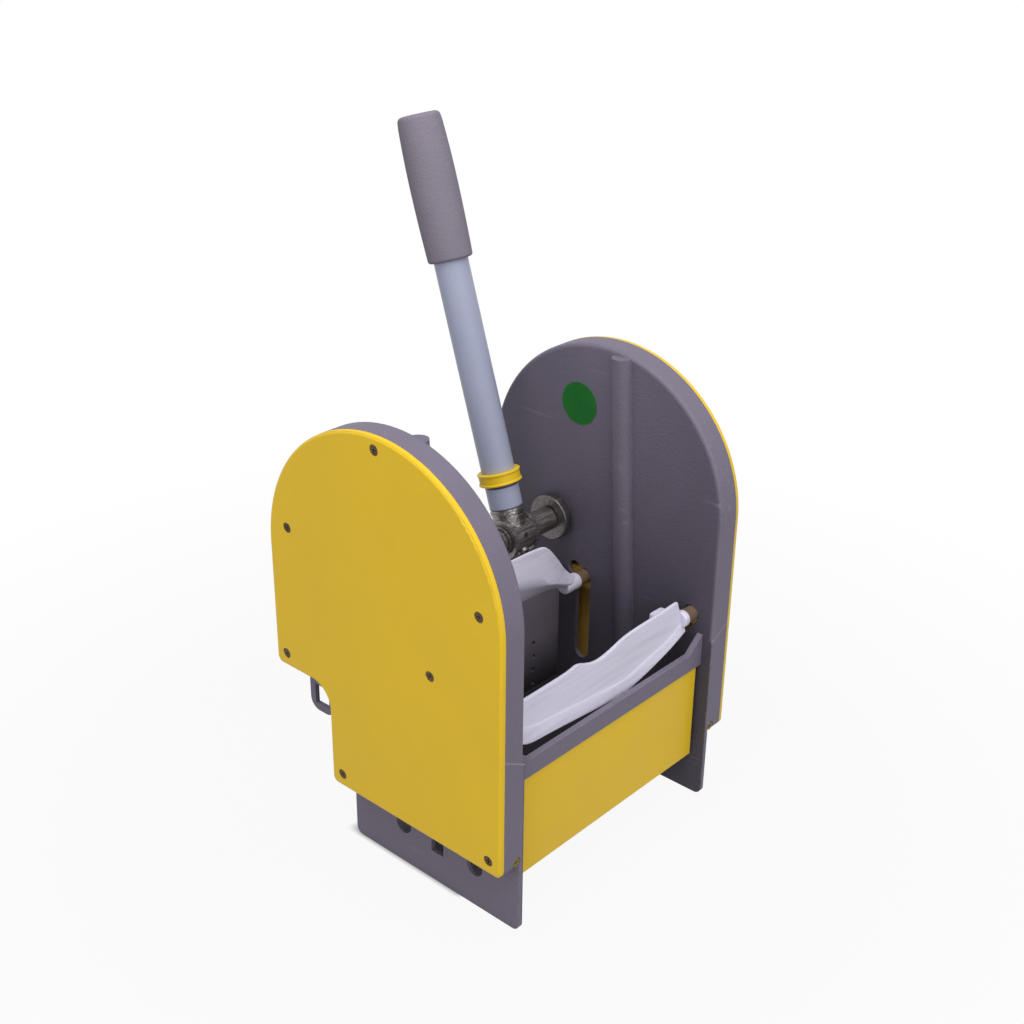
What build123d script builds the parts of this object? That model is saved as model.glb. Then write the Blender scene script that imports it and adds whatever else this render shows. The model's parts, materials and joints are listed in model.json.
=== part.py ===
from build123d import *
import os
from math import acos, cos, pi, radians, sin, tan

# Mop wringer: two arched side frames, a lever on a cross shaft, and two jaws that
# slide down converging slots and squeeze a mop between them.
# Row frame: +Z up, X across the wringer, -Y towards the yellow front panel.
# Side profiles are drawn in (y, z) about the centre of the arch.

# Side frames
INNER_HALF = 114.0
WALL = 4.0
RIM_DEPTH = 20.5
ARCH_RADIUS = 120.0
NOTCH_Z = -107.0
NOTCH_ROUND = 20.0
LOWER_REAR = 60.0
BODY_BOTTOM = -193.0
BODY_CORNER = 5.5
INNER_EDGE_ROUND = 4.0
SEAM_Z = -103.0
LEG_BOTTOM = -253.5
LEG_REAR = 57.0
LEG_CORNER = 6.5
FOOT_HOLE_RADIUS = 8.2
FOOT_HOLE_Z = -217.5
FOOT_HOLE_Y = (1.8, -74.7)
FOOT_SLOT = 13.0
FOOT_SLOT_YZ = (-35.3, -220.0)
LUG_INSET = 13.0
LUG_LENGTH = 28.0
LUG_DROP = 47.0
LUG_BAR = 6.0
LUG_ROUND = 10.0
LUG_WINDOW = 18.0
RIB_RADIUS = 9.0
RIB_TOP_Y = -16.4
RIB_TOP_DROP = 4.5
RIB_FOOT_YZ = (-32.0, -140.0)

# Side covers and their screws
COVER_THICK = 4.5
COVER_INSET = 0.3
COVER_EDGE = 2.5
BOSS_RADIUS = 5.5
SCREW_INSET = 10.0
SIDE_SCREW_INSET = 21.5
SIDE_SCREW_Z = 17.5
CORNER_INSET_Y = 12.0
CORNER_INSET_Z = 11.5
MIDDLE_SCREW_YZ = (-51.0, -49.3)
SCREW_SHANK_RADIUS = 1.9
SCREW_HEAD_RADIUS = 3.8
SCREW_HEAD_HEIGHT = 2.2
SCREW_LENGTH = 14.0
SCREW_SUNK = 2.6
DRIVE_SLOT_LENGTH = 4.6
DRIVE_SLOT_WIDTH = 1.1
DRIVE_SLOT_DEPTH = 1.3
FRONT_SCREW_OFFSET = 7.0
FRONT_SCREW_RISE = 6.0
FRONT_HEAD_SUNK = 2.4
FRONT_SCREW_LENGTH = 4.5

# Front rail and panel
RAIL_SETBACK = 9.0
RAIL_THICK = 5.0
RAIL_TOP = -112.0
RAIL_HEIGHT = 15.5
GUSSET_RISE = 13.0
GUSSET_RUN = 17.0
GUSSET_TIP = 1.5
PANEL_SETBACK = 1.5
PANEL_THICK = 3.0
PANEL_BOTTOM = -214.0
PANEL_END_GAP = 1.0
PANEL_RIB_HEIGHT = 12.0
PANEL_RIB_Z = (-140.0, -188.0)

# Rear panel, a hollow drain with a pierced floor at its foot
REAR_PANEL_FRONT = 42.0
REAR_PANEL_THICK = 3.0
REAR_PANEL_TOP = -86.0
REAR_PANEL_BOTTOM = -220.0
REAR_FLANGE_DEPTH = 14.0
DRAIN_HOLE = 4.2
DRAIN_PITCH_X = 27.0
DRAIN_PITCH_Z = 13.4
DRAIN_COLUMNS = 7
DRAIN_ROWS = 5
DRAIN_TOP = -155.5
FLOOR_Z = -205.0
FLOOR_HOLE = 8.0
FLOOR_ROWS = 5
TIE_SCREW_LENGTH = 8.0
TIE_HEAD_RADIUS = 3.5
TIE_HEAD_HEIGHT = 2.4
REAR_TIE_Z = (-98.0, -168.0)

# Lever, its shaft and hub
SHAFT_Y = 46.7
SHAFT_Z = -42.0
SHAFT_RADIUS = 9.0
LEAN = 17.5
HUB_X = 57.0
BUSH_FLANGE_RADIUS = 20.0
BUSH_FLANGE_THICK = 8.0
BUSH_STEP_RADIUS = 15.0
BUSH_STEP_THICK = 4.0
BUSH_RADIUS = 12.0
BUSH_LENGTH = 5.5
HUB_RADIUS = 15.5
HUB_HALF = 14.5
HUB_BEAD = 1.6
HUB_BEAD_WIDTH = 3.0
HUB_NECK_RADIUS = 13.5
SLEEVE_RADIUS = 10.5
TUBE_RADIUS = 14.0
TUBE_WALL = 2.0
TUBE_FOOT = 24.5
SPIGOT_DEPTH = 40.0
GRIP_FOOT = 232.0
GRIP_TOP = 347.0
GRIP_FOOT_RADIUS = 18.2
GRIP_WAIST_RADIUS = 19.2
GRIP_END_RADIUS = 17.3
GRIP_END_ROUND = 4.0
GRIP_CAP = 8.0
BAND_FOOT = 46.0
BAND_HEIGHT = 10.5
BAND_RADIUS = 18.0
BAND_ROUND = 1.2
HUB_PIN_RADIUS = 2.5

# Jaw drive: gears on the shaft move racks on the two carriers
MODULE = 2.0
GEAR_TEETH = 44
GEAR_WIDTH = 8.0
GEAR_WINDOWS = 6
GEAR_WINDOW_CIRCLE = 27.0
GEAR_WINDOW_RADIUS = 8.0
CLIP_THICK = 1.5
CLIP_RADIUS = 13.0
TRUNNION_CLIP_RADIUS = 10.0
PRESSURE_ANGLE = 20.0
DEDENDUM = 1.25 * MODULE
RACK_LEAD_TEETH = 2.5
BACKLASH = 0.3
RACK_DEPTH = 22.0
CARRIER_THICK = 6.0
CARRIER_GAP = 3.0
JAW_DROP = 72.0
FRONT_SLANT = 33.5
REAR_PIVOT_YZ = (15.0, -93.4)
FRONT_PIVOT_Z = -84.0
FRONT_PIVOT_GAP = 1.0
TRUNNION_RADIUS = 7.0
SLOT_CLEAR = 0.5
SLOT_HEADROOM = 3.0
SLOT_HOOK = (10.0, 6.0)
REAR_BOSS_RADIUS = 12.5
EAR_REACH = 16.0
EAR_DROP = 4.6
EAR_RADIUS = 9.0
ARM_HALF_HEIGHT = 14.0
ARM_NOSE = 13.0
GUIDE_THICK = 6.0
GUIDE_TOP = 46.0
GUIDE_FOOT = -58.0

# White jaw bars
BAR_END_GAP = 14.0
BAR_EDGE = 17.5
BAR_BELLY = 34.0
BAR_DIP_HALF = 26.0
BAR_THICK = 7.0
BAR_FACE = 1.5
BAR_CREASE = -16.0
BAR_FLARE = 4.5
FRONT_BAR_CUT = (6.0, 10.0)
FRONT_BAR_DIP = 5.0
FRONT_BAR_END_BELLY = 17.0
FRONT_BAR_LEAN = 1.5
REAR_BAR_RISE = 34.0
REAR_BAR_END_GAP = 28.0
REAR_BAR_CUT = (19.0, 31.0)
REAR_BAR_DIP = -1.0
REAR_BAR_END_BELLY = 25.0
REAR_BAR_LEAN = 5.0
REAR_FOOT_WIDTH = 12.0
BAR_BOSS_RADIUS = 8.5
BAR_LUG_X = 78.0
BAR_LUG_WIDTH = 14.0
BAR_LUG_DEPTH = 6.0
BAR_LUG_HEIGHT = 18.0

# Green disc on the inner wall
DISC_RADIUS = 18.2
DISC_THICK = 0.4
DISC_Y = 26.0
DISC_DROP = 55.0

# Fits
FIT = 0.05
RUN_CLEAR = 0.5
END_FLOAT = 0.3

# Places worked out from the sizes above
OUTER_HALF = INNER_HALF + RIM_DEPTH
CAVITY_X = INNER_HALF + WALL
COVER_OUT = OUTER_HALF + COVER_THICK
LEAN_SIN = sin(radians(LEAN))
LEAN_COS = cos(radians(LEAN))
REAR_REACH = (
    SHAFT_Y
    + (GRIP_TOP - GRIP_END_ROUND) * LEAN_SIN
    + (GRIP_END_RADIUS - GRIP_END_ROUND) * LEAN_COS
    + GRIP_END_ROUND
)
ARCH_Y = (ARCH_RADIUS - REAR_REACH) / 2
ARCH_Z = -LEG_BOTTOM
GEAR_RADIUS = MODULE * GEAR_TEETH / 2
GEAR_X = CAVITY_X + CARRIER_GAP
RACK_PITCH = pi * MODULE
RACK_Y = SHAFT_Y - GEAR_RADIUS
RACK_ROOT = RACK_Y - DEDENDUM
RACK_BACK = RACK_ROOT - RACK_DEPTH
RACK_TOP = SHAFT_Z + JAW_DROP + 2 * RACK_PITCH
FRONT_DRIFT = JAW_DROP * tan(radians(FRONT_SLANT))
FRONT_TRAVEL = JAW_DROP / cos(radians(FRONT_SLANT))
SLOT_RADIUS = TRUNNION_RADIUS + SLOT_CLEAR
CARRIER_OUT = GEAR_X + CARRIER_THICK
SHAFT_END = GEAR_X + GEAR_WIDTH + 2 * CLIP_THICK
TRUNNION_END = CARRIER_OUT + END_FLOAT + 2 * CLIP_THICK
RAIL_FRONT = RAIL_SETBACK - ARCH_RADIUS
RAIL_BOTTOM = RAIL_TOP - RAIL_HEIGHT
FRONT_PIVOT_YZ = (RAIL_FRONT + RAIL_THICK + TRUNNION_RADIUS + FRONT_PIVOT_GAP, FRONT_PIVOT_Z)
BAR_HALF = INNER_HALF - BAR_END_GAP
REAR_BAR_HALF = INNER_HALF - REAR_BAR_END_GAP
LUG_REAR = ARCH_RADIUS - LUG_INSET
LUG_FRONT = LUG_REAR - LUG_LENGTH
LUG_BOTTOM = NOTCH_Z - LUG_DROP
RIB_TOP_YZ = (RIB_TOP_Y, ARCH_RADIUS - RIB_TOP_DROP)
COVER_SCREW_YZ = (
    (0, ARCH_RADIUS - SCREW_INSET),
    (ARCH_RADIUS - SIDE_SCREW_INSET, SIDE_SCREW_Z),
    (SIDE_SCREW_INSET - ARCH_RADIUS, SIDE_SCREW_Z),
    MIDDLE_SCREW_YZ,
    (ARCH_RADIUS - CORNER_INSET_Y, NOTCH_Z + CORNER_INSET_Z),
    (LOWER_REAR - CORNER_INSET_Y, BODY_BOTTOM + CORNER_INSET_Z),
    (CORNER_INSET_Y - ARCH_RADIUS, BODY_BOTTOM + CORNER_INSET_Z),
)
FRONT_SCREW_XZ = (INNER_HALF + FRONT_SCREW_OFFSET, BODY_BOTTOM + FRONT_SCREW_RISE)
FRONT_SCREW_DEPTH = FRONT_HEAD_SUNK + FRONT_SCREW_LENGTH
SLEEVE_START = HUB_X + HUB_HALF
BUSH_STEP_X = INNER_HALF - BUSH_STEP_THICK
SLEEVE_END = BUSH_STEP_X - BUSH_FLANGE_THICK
REAR_TIE_Y = REAR_PANEL_FRONT + REAR_FLANGE_DEPTH / 2
FRONT_TIE_YZ = (RAIL_FRONT + RAIL_THICK / 2, RAIL_TOP - RAIL_HEIGHT / 2)
PANEL_BACK = RAIL_FRONT + PANEL_SETBACK + PANEL_THICK
FLOOR_FRONT = PANEL_BACK + RUN_CLEAR
FLOOR_DEPTH = REAR_PANEL_FRONT - FLOOR_FRONT
HOOK_MIDDLE = (REAR_PIVOT_YZ[0] + SLOT_HOOK[0] / 2, REAR_PIVOT_YZ[1] + SLOT_HOOK[1] / 2)


def side_plane(x):
    """Side view at distance x: local axes are Y and Z about the arch centre."""
    return Plane(origin=(x, ARCH_Y, ARCH_Z), x_dir=(0, 1, 0), z_dir=(1, 0, 0))


def front_plane(y):
    """Front view at depth y: local axes are X and Z, and extrusion runs to the front."""
    return Plane(origin=(0, ARCH_Y + y, ARCH_Z), x_dir=(1, 0, 0), z_dir=(0, -1, 0))


HANDLE_AXIS = Plane(
    origin=(HUB_X, ARCH_Y + SHAFT_Y, ARCH_Z + SHAFT_Z),
    x_dir=(1, 0, 0),
    z_dir=(0, LEAN_SIN, LEAN_COS),
)
HANDLE_SECTION = Plane(origin=HANDLE_AXIS.origin, x_dir=HANDLE_AXIS.x_dir, z_dir=-HANDLE_AXIS.y_dir)


def upper_outline():
    """Arched part of a side frame, above the seam."""
    with BuildLine() as outline:
        Polyline((ARCH_RADIUS, 0), (ARCH_RADIUS, SEAM_Z), (-ARCH_RADIUS, SEAM_Z), (-ARCH_RADIUS, 0))
        ThreePointArc((-ARCH_RADIUS, 0), (0, ARCH_RADIUS), (ARCH_RADIUS, 0))
    make_face(outline.edges())


def body_outline(inset):
    """Whole housing outline, with the notch at the lower rear, drawn in by inset."""
    arch = ARCH_RADIUS - inset
    notch = NOTCH_Z + inset
    rear = LOWER_REAR - inset
    bottom = BODY_BOTTOM + inset
    corner = BODY_CORNER - inset
    with BuildLine() as outline:
        FilletPolyline(
            (arch, 0),
            (arch, notch),
            (rear, notch),
            (rear, bottom),
            (-arch, bottom),
            (-arch, 0),
            radius=[corner, NOTCH_ROUND + inset, corner, corner],
        )
        ThreePointArc((-arch, 0), (0, arch), (arch, 0))
    make_face(outline.edges())


def gear_outline():
    """Involute spur gear about the lever shaft, with one tooth pointing straight at the rack."""
    base = GEAR_RADIUS * cos(radians(PRESSURE_ANGLE))
    root = GEAR_RADIUS - DEDENDUM
    tip = GEAR_RADIUS + MODULE
    half_at_pitch = (RACK_PITCH / 2 - BACKLASH) / 2 / GEAR_RADIUS

    def involute(radius):
        angle = acos(base / max(radius, base))
        return tan(angle) - angle

    flank = []
    for radius in (root, GEAR_RADIUS - MODULE / 3, GEAR_RADIUS + MODULE / 3, tip):
        flank.append((radius, half_at_pitch + involute(GEAR_RADIUS) - involute(radius)))
    points = []
    for tooth in range(GEAR_TEETH):
        middle = pi + 2 * pi * tooth / GEAR_TEETH
        for radius, half in flank:
            points.append((SHAFT_Y + radius * cos(middle - half), SHAFT_Z + radius * sin(middle - half)))
        for radius, half in reversed(flank):
            points.append((SHAFT_Y + radius * cos(middle + half), SHAFT_Z + radius * sin(middle + half)))
    with BuildLine() as outline:
        Polyline(*points, close=True)
    make_face(outline.edges())


def rack_outline(foot):
    """Straight rack bar from foot to its top, with its teeth facing the gear."""
    tip_half = RACK_PITCH / 4 - BACKLASH / 2 - MODULE * tan(radians(PRESSURE_ANGLE))
    root_half = tip_half + (MODULE + DEDENDUM) * tan(radians(PRESSURE_ANGLE))
    count = int((RACK_TOP - SHAFT_Z) / RACK_PITCH + RACK_LEAD_TEETH)
    points = [(RACK_BACK, foot), (RACK_ROOT, foot)]
    for tooth in range(count):
        middle = SHAFT_Z + (tooth - RACK_LEAD_TEETH) * RACK_PITCH
        points.append((RACK_ROOT, middle - root_half))
        points.append((RACK_Y + MODULE, middle - tip_half))
        points.append((RACK_Y + MODULE, middle + tip_half))
        points.append((RACK_ROOT, middle + root_half))
    points += [(RACK_ROOT, RACK_TOP), (RACK_BACK, RACK_TOP)]
    with BuildLine() as outline:
        Polyline(*points, close=True)
    make_face(outline.edges())


def bored_cylinder(x, length, radius, bore):
    """Ring about the lever shaft, from x over length."""
    with BuildSketch(side_plane(x)) as ring:
        with Locations((SHAFT_Y, SHAFT_Z)):
            Circle(radius)
            Circle(bore, mode=Mode.SUBTRACT)
    extrude(ring.sketch, amount=length)


# Side frames: a wall, a deep rim round it, a foot below and a loop at the rear
with BuildPart() as side_frame_right:
    with BuildSketch(side_plane(INNER_HALF)):
        upper_outline()
    extrude(amount=RIM_DEPTH)
    inner_edges = side_frame_right.edges().group_by(Axis.X)[0]
    fillet(inner_edges.sort_by(Axis.Z)[1:], INNER_EDGE_ROUND)
    with BuildSketch(side_plane(INNER_HALF)):
        body_outline(0)
        with Locations((0, SEAM_Z)):
            Rectangle(
                3 * ARCH_RADIUS, 3 * ARCH_RADIUS, align=(Align.CENTER, Align.MIN), mode=Mode.SUBTRACT
            )
    extrude(amount=RIM_DEPTH)
    rib_foot = side_plane(INNER_HALF).from_local_coords(Vector(*RIB_FOOT_YZ, 0))
    rib_top = side_plane(INNER_HALF).from_local_coords(Vector(*RIB_TOP_YZ, 0))
    with BuildSketch(Plane(origin=rib_foot, z_dir=rib_top - rib_foot)):
        Circle(RIB_RADIUS)
    extrude(amount=(rib_top - rib_foot).length)
    with Locations(rib_foot):
        Sphere(RIB_RADIUS)
    with BuildSketch(side_plane(INNER_HALF)):
        with BuildLine():
            FilletPolyline(
                (-ARCH_RADIUS, BODY_BOTTOM + 2 * BODY_CORNER),
                (-ARCH_RADIUS, LEG_BOTTOM),
                (LEG_REAR, LEG_BOTTOM),
                (LEG_REAR, BODY_BOTTOM + 2 * BODY_CORNER),
                radius=LEG_CORNER,
            )
            Line((LEG_REAR, BODY_BOTTOM + 2 * BODY_CORNER), (-ARCH_RADIUS, BODY_BOTTOM + 2 * BODY_CORNER))
        make_face()
        with BuildLine():
            FilletPolyline(
                (LUG_FRONT, NOTCH_Z + BODY_CORNER),
                (LUG_FRONT, LUG_BOTTOM),
                (LUG_REAR, LUG_BOTTOM),
                (LUG_REAR, NOTCH_Z + BODY_CORNER),
                radius=LUG_ROUND,
            )
            Line((LUG_REAR, NOTCH_Z + BODY_CORNER), (LUG_FRONT, NOTCH_Z + BODY_CORNER))
        make_face()
    extrude(amount=WALL)
    with BuildSketch(side_plane(CAVITY_X)):
        body_outline(WALL)
    extrude(amount=RIM_DEPTH, mode=Mode.SUBTRACT)
    with BuildSketch(side_plane(CAVITY_X)):
        with Locations(*COVER_SCREW_YZ):
            Circle(BOSS_RADIUS)
            Circle(SCREW_SHANK_RADIUS + FIT, mode=Mode.SUBTRACT)
    extrude(amount=RIM_DEPTH - WALL)
    with BuildSketch(side_plane(CAVITY_X)):
        with Locations((RACK_BACK - RUN_CLEAR, GUIDE_FOOT)):
            Rectangle(GUIDE_THICK, GUIDE_TOP - GUIDE_FOOT, align=(Align.MAX, Align.MIN))
    extrude(amount=CARRIER_GAP + CARRIER_THICK)
    with BuildSketch(side_plane(INNER_HALF)):
        with Locations((SHAFT_Y, SHAFT_Z)):
            Circle(BUSH_RADIUS + FIT)
        with Locations(*[(y, FOOT_HOLE_Z) for y in FOOT_HOLE_Y]):
            Circle(FOOT_HOLE_RADIUS)
        with Locations(FOOT_SLOT_YZ):
            Rectangle(FOOT_SLOT, FOOT_SLOT)
        with Locations(((LUG_FRONT + LUG_REAR) / 2, LUG_BOTTOM + LUG_BAR)):
            Rectangle(
                LUG_REAR - LUG_FRONT - 2 * LUG_BAR, LUG_WINDOW, align=(Align.CENTER, Align.MIN)
            )
        with Locations((REAR_PIVOT_YZ[0], REAR_PIVOT_YZ[1] + SLOT_HEADROOM / 2 - JAW_DROP / 2)):
            SlotCenterToCenter(JAW_DROP + SLOT_HEADROOM, 2 * SLOT_RADIUS, rotation=90)
        SlotCenterPoint(HOOK_MIDDLE, REAR_PIVOT_YZ, 2 * SLOT_RADIUS)
        with Locations((FRONT_PIVOT_YZ[0] + FRONT_DRIFT / 2, FRONT_PIVOT_YZ[1] - JAW_DROP / 2)):
            SlotCenterToCenter(FRONT_TRAVEL, 2 * SLOT_RADIUS, rotation=FRONT_SLANT - 90)
        with Locations(FRONT_TIE_YZ, *[(REAR_TIE_Y, z) for z in REAR_TIE_Z]):
            Circle(SCREW_SHANK_RADIUS + FIT)
    extrude(amount=WALL, mode=Mode.SUBTRACT)
    with BuildSketch(front_plane(-ARCH_RADIUS + FRONT_HEAD_SUNK)):
        with Locations(FRONT_SCREW_XZ):
            Circle(SCREW_HEAD_RADIUS + RUN_CLEAR)
    extrude(amount=FRONT_HEAD_SUNK, mode=Mode.SUBTRACT)
    with BuildSketch(front_plane(-ARCH_RADIUS + FRONT_SCREW_DEPTH)):
        with Locations(FRONT_SCREW_XZ):
            Circle(SCREW_SHANK_RADIUS + FIT)
    extrude(amount=FRONT_SCREW_DEPTH, mode=Mode.SUBTRACT)

with BuildPart() as side_frame_left:
    mirror(side_frame_right.part, about=Plane.YZ)

# Yellow side covers, held by screws sunk into their faces
with BuildPart() as cover_right:
    with BuildSketch(side_plane(OUTER_HALF)):
        body_outline(COVER_INSET)
    extrude(amount=COVER_THICK)
    fillet(cover_right.edges().group_by(Axis.X)[-1], COVER_EDGE)
    with BuildSketch(side_plane(COVER_OUT - SCREW_SUNK)):
        with Locations(*COVER_SCREW_YZ):
            Circle(SCREW_HEAD_RADIUS + RUN_CLEAR)
    extrude(amount=SCREW_SUNK, mode=Mode.SUBTRACT)
    with BuildSketch(side_plane(OUTER_HALF)):
        with Locations(*COVER_SCREW_YZ):
            Circle(SCREW_SHANK_RADIUS + FIT)
    extrude(amount=COVER_THICK, mode=Mode.SUBTRACT)

with BuildPart() as cover_left:
    mirror(cover_right.part, about=Plane.YZ)

with BuildPart() as cover_screws:
    with BuildSketch(side_plane(COVER_OUT - SCREW_SUNK)):
        with Locations(*COVER_SCREW_YZ):
            Circle(SCREW_HEAD_RADIUS)
    extrude(amount=SCREW_HEAD_HEIGHT)
    with BuildSketch(side_plane(COVER_OUT - SCREW_SUNK)):
        with Locations(*COVER_SCREW_YZ):
            Circle(SCREW_SHANK_RADIUS)
    extrude(amount=-SCREW_LENGTH)
    with BuildSketch(side_plane(COVER_OUT - SCREW_SUNK + SCREW_HEAD_HEIGHT)):
        with Locations(*COVER_SCREW_YZ):
            Rectangle(DRIVE_SLOT_LENGTH, DRIVE_SLOT_WIDTH)
            Rectangle(DRIVE_SLOT_WIDTH, DRIVE_SLOT_LENGTH)
    extrude(amount=-DRIVE_SLOT_DEPTH, mode=Mode.SUBTRACT)
    mirror(about=Plane.YZ)

# Front rail with a gusset at each end, and the panel below it
with BuildPart() as front_rail:
    with BuildSketch(front_plane(RAIL_FRONT + RAIL_THICK)):
        with BuildLine():
            Polyline(
                (-INNER_HALF, RAIL_BOTTOM),
                (INNER_HALF, RAIL_BOTTOM),
                (INNER_HALF, RAIL_TOP + GUSSET_RISE),
                (INNER_HALF - GUSSET_TIP, RAIL_TOP + GUSSET_RISE),
                (INNER_HALF - GUSSET_RUN, RAIL_TOP),
                (-INNER_HALF + GUSSET_RUN, RAIL_TOP),
                (-INNER_HALF + GUSSET_TIP, RAIL_TOP + GUSSET_RISE),
                (-INNER_HALF, RAIL_TOP + GUSSET_RISE),
                close=True,
            )
        make_face()
    extrude(amount=RAIL_THICK)
    with BuildSketch(side_plane(INNER_HALF)):
        with Locations(FRONT_TIE_YZ):
            Circle(SCREW_SHANK_RADIUS + FIT)
    extrude(amount=-TIE_SCREW_LENGTH, mode=Mode.SUBTRACT)
    with BuildSketch(side_plane(-INNER_HALF)):
        with Locations(FRONT_TIE_YZ):
            Circle(SCREW_SHANK_RADIUS + FIT)
    extrude(amount=TIE_SCREW_LENGTH, mode=Mode.SUBTRACT)

with BuildPart() as front_panel:
    with BuildSketch(front_plane(PANEL_BACK)):
        with Locations((0, PANEL_BOTTOM)):
            Rectangle(
                2 * (INNER_HALF - PANEL_END_GAP),
                RAIL_BOTTOM - PANEL_BOTTOM,
                align=(Align.CENTER, Align.MIN),
            )
    extrude(amount=PANEL_THICK)
    with BuildSketch(front_plane(PANEL_BACK)):
        with Locations(*[(0, z) for z in PANEL_RIB_Z]):
            Rectangle(2 * INNER_HALF, PANEL_RIB_HEIGHT)
    extrude(amount=-PANEL_THICK)

# Rear panel: a plate with drain holes, a flange at each wall, a back and a pierced floor
with BuildPart() as rear_panel:
    with BuildSketch(front_plane(REAR_PANEL_FRONT + REAR_PANEL_THICK)):
        with Locations((0, REAR_PANEL_BOTTOM)):
            Rectangle(
                2 * INNER_HALF, REAR_PANEL_TOP - REAR_PANEL_BOTTOM, align=(Align.CENTER, Align.MIN)
            )
        with Locations((0, DRAIN_TOP - (DRAIN_ROWS - 1) * DRAIN_PITCH_Z / 2)):
            with GridLocations(DRAIN_PITCH_X, DRAIN_PITCH_Z, DRAIN_COLUMNS, DRAIN_ROWS):
                Rectangle(DRAIN_HOLE, DRAIN_HOLE, mode=Mode.SUBTRACT)
    extrude(amount=REAR_PANEL_THICK)
    with BuildSketch(side_plane(INNER_HALF - REAR_PANEL_THICK)):
        with Locations((REAR_PANEL_FRONT, REAR_PANEL_BOTTOM)):
            Rectangle(
                REAR_FLANGE_DEPTH, REAR_PANEL_TOP - REAR_PANEL_BOTTOM, align=(Align.MIN, Align.MIN)
            )
        with Locations(*[(REAR_TIE_Y, z) for z in REAR_TIE_Z]):
            Circle(SCREW_SHANK_RADIUS + FIT, mode=Mode.SUBTRACT)
    extrude(amount=REAR_PANEL_THICK)
    mirror(about=Plane.YZ)
    with BuildSketch(front_plane(REAR_PANEL_FRONT + REAR_FLANGE_DEPTH)):
        with Locations((0, REAR_PANEL_BOTTOM)):
            Rectangle(
                2 * INNER_HALF, REAR_PANEL_TOP - REAR_PANEL_BOTTOM, align=(Align.CENTER, Align.MIN)
            )
    extrude(amount=REAR_PANEL_THICK)
    with BuildSketch(Plane.XY.offset(ARCH_Z + FLOOR_Z)):
        with Locations((0, ARCH_Y + FLOOR_FRONT + FLOOR_DEPTH / 2)):
            Rectangle(2 * INNER_HALF, FLOOR_DEPTH)
            with GridLocations(DRAIN_PITCH_X, FLOOR_DEPTH / FLOOR_ROWS, DRAIN_COLUMNS, FLOOR_ROWS):
                Rectangle(FLOOR_HOLE, FLOOR_HOLE, mode=Mode.SUBTRACT)
    extrude(amount=REAR_PANEL_THICK)

with BuildPart() as tie_screws:
    with BuildSketch(side_plane(CAVITY_X)):
        with Locations(FRONT_TIE_YZ, *[(REAR_TIE_Y, z) for z in REAR_TIE_Z]):
            Circle(TIE_HEAD_RADIUS)
    extrude(amount=TIE_HEAD_HEIGHT)
    with BuildSketch(side_plane(CAVITY_X)):
        with Locations(FRONT_TIE_YZ, *[(REAR_TIE_Y, z) for z in REAR_TIE_Z]):
            Circle(SCREW_SHANK_RADIUS)
    extrude(amount=-TIE_SCREW_LENGTH)
    mirror(about=Plane.YZ)

with BuildPart() as front_screws:
    with BuildSketch(front_plane(-ARCH_RADIUS + FRONT_HEAD_SUNK)):
        with Locations(FRONT_SCREW_XZ):
            Circle(SCREW_HEAD_RADIUS)
    extrude(amount=SCREW_HEAD_HEIGHT)
    with BuildSketch(front_plane(-ARCH_RADIUS + FRONT_HEAD_SUNK)):
        with Locations(FRONT_SCREW_XZ):
            Circle(SCREW_SHANK_RADIUS)
    extrude(amount=-FRONT_SCREW_LENGTH)
    with BuildSketch(front_plane(-ARCH_RADIUS + FRONT_HEAD_SUNK - SCREW_HEAD_HEIGHT)):
        with Locations(FRONT_SCREW_XZ):
            Rectangle(DRIVE_SLOT_LENGTH, DRIVE_SLOT_WIDTH)
    extrude(amount=-DRIVE_SLOT_DEPTH, mode=Mode.SUBTRACT)
    mirror(about=Plane.YZ)

with BuildPart() as green_disc:
    with BuildSketch(side_plane(INNER_HALF - DISC_THICK)):
        with Locations((DISC_Y, ARCH_RADIUS - DISC_DROP)):
            Circle(DISC_RADIUS)
    extrude(amount=DISC_THICK)

# Flanged bushes in the walls, which carry the lever shaft
with BuildPart() as shaft_bush_right:
    bored_cylinder(SLEEVE_END, BUSH_FLANGE_THICK, BUSH_FLANGE_RADIUS, SHAFT_RADIUS + FIT)
    bored_cylinder(BUSH_STEP_X, BUSH_STEP_THICK, BUSH_STEP_RADIUS, SHAFT_RADIUS + FIT)
    bored_cylinder(INNER_HALF, BUSH_LENGTH, BUSH_RADIUS, SHAFT_RADIUS + FIT)

with BuildPart() as shaft_bush_left:
    mirror(shaft_bush_right.part, about=Plane.YZ)

# Lever shaft with its sleeves, and the hub pinned to it
with BuildPart() as lever_shaft:
    with BuildSketch(side_plane(-SHAFT_END)):
        with Locations((SHAFT_Y, SHAFT_Z)):
            Circle(SHAFT_RADIUS)
    extrude(amount=2 * SHAFT_END)
    with BuildSketch(HANDLE_SECTION):
        Circle(HUB_PIN_RADIUS + FIT)
    extrude(amount=HUB_RADIUS, both=True, mode=Mode.SUBTRACT)

with BuildPart() as sleeve_right:
    bored_cylinder(SLEEVE_START, SLEEVE_END - END_FLOAT - SLEEVE_START, SLEEVE_RADIUS, SHAFT_RADIUS + FIT)

with BuildPart() as sleeve_left:
    bored_cylinder(
        END_FLOAT - SLEEVE_END, HUB_X - HUB_HALF + SLEEVE_END - END_FLOAT, SLEEVE_RADIUS, SHAFT_RADIUS + FIT
    )

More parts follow.
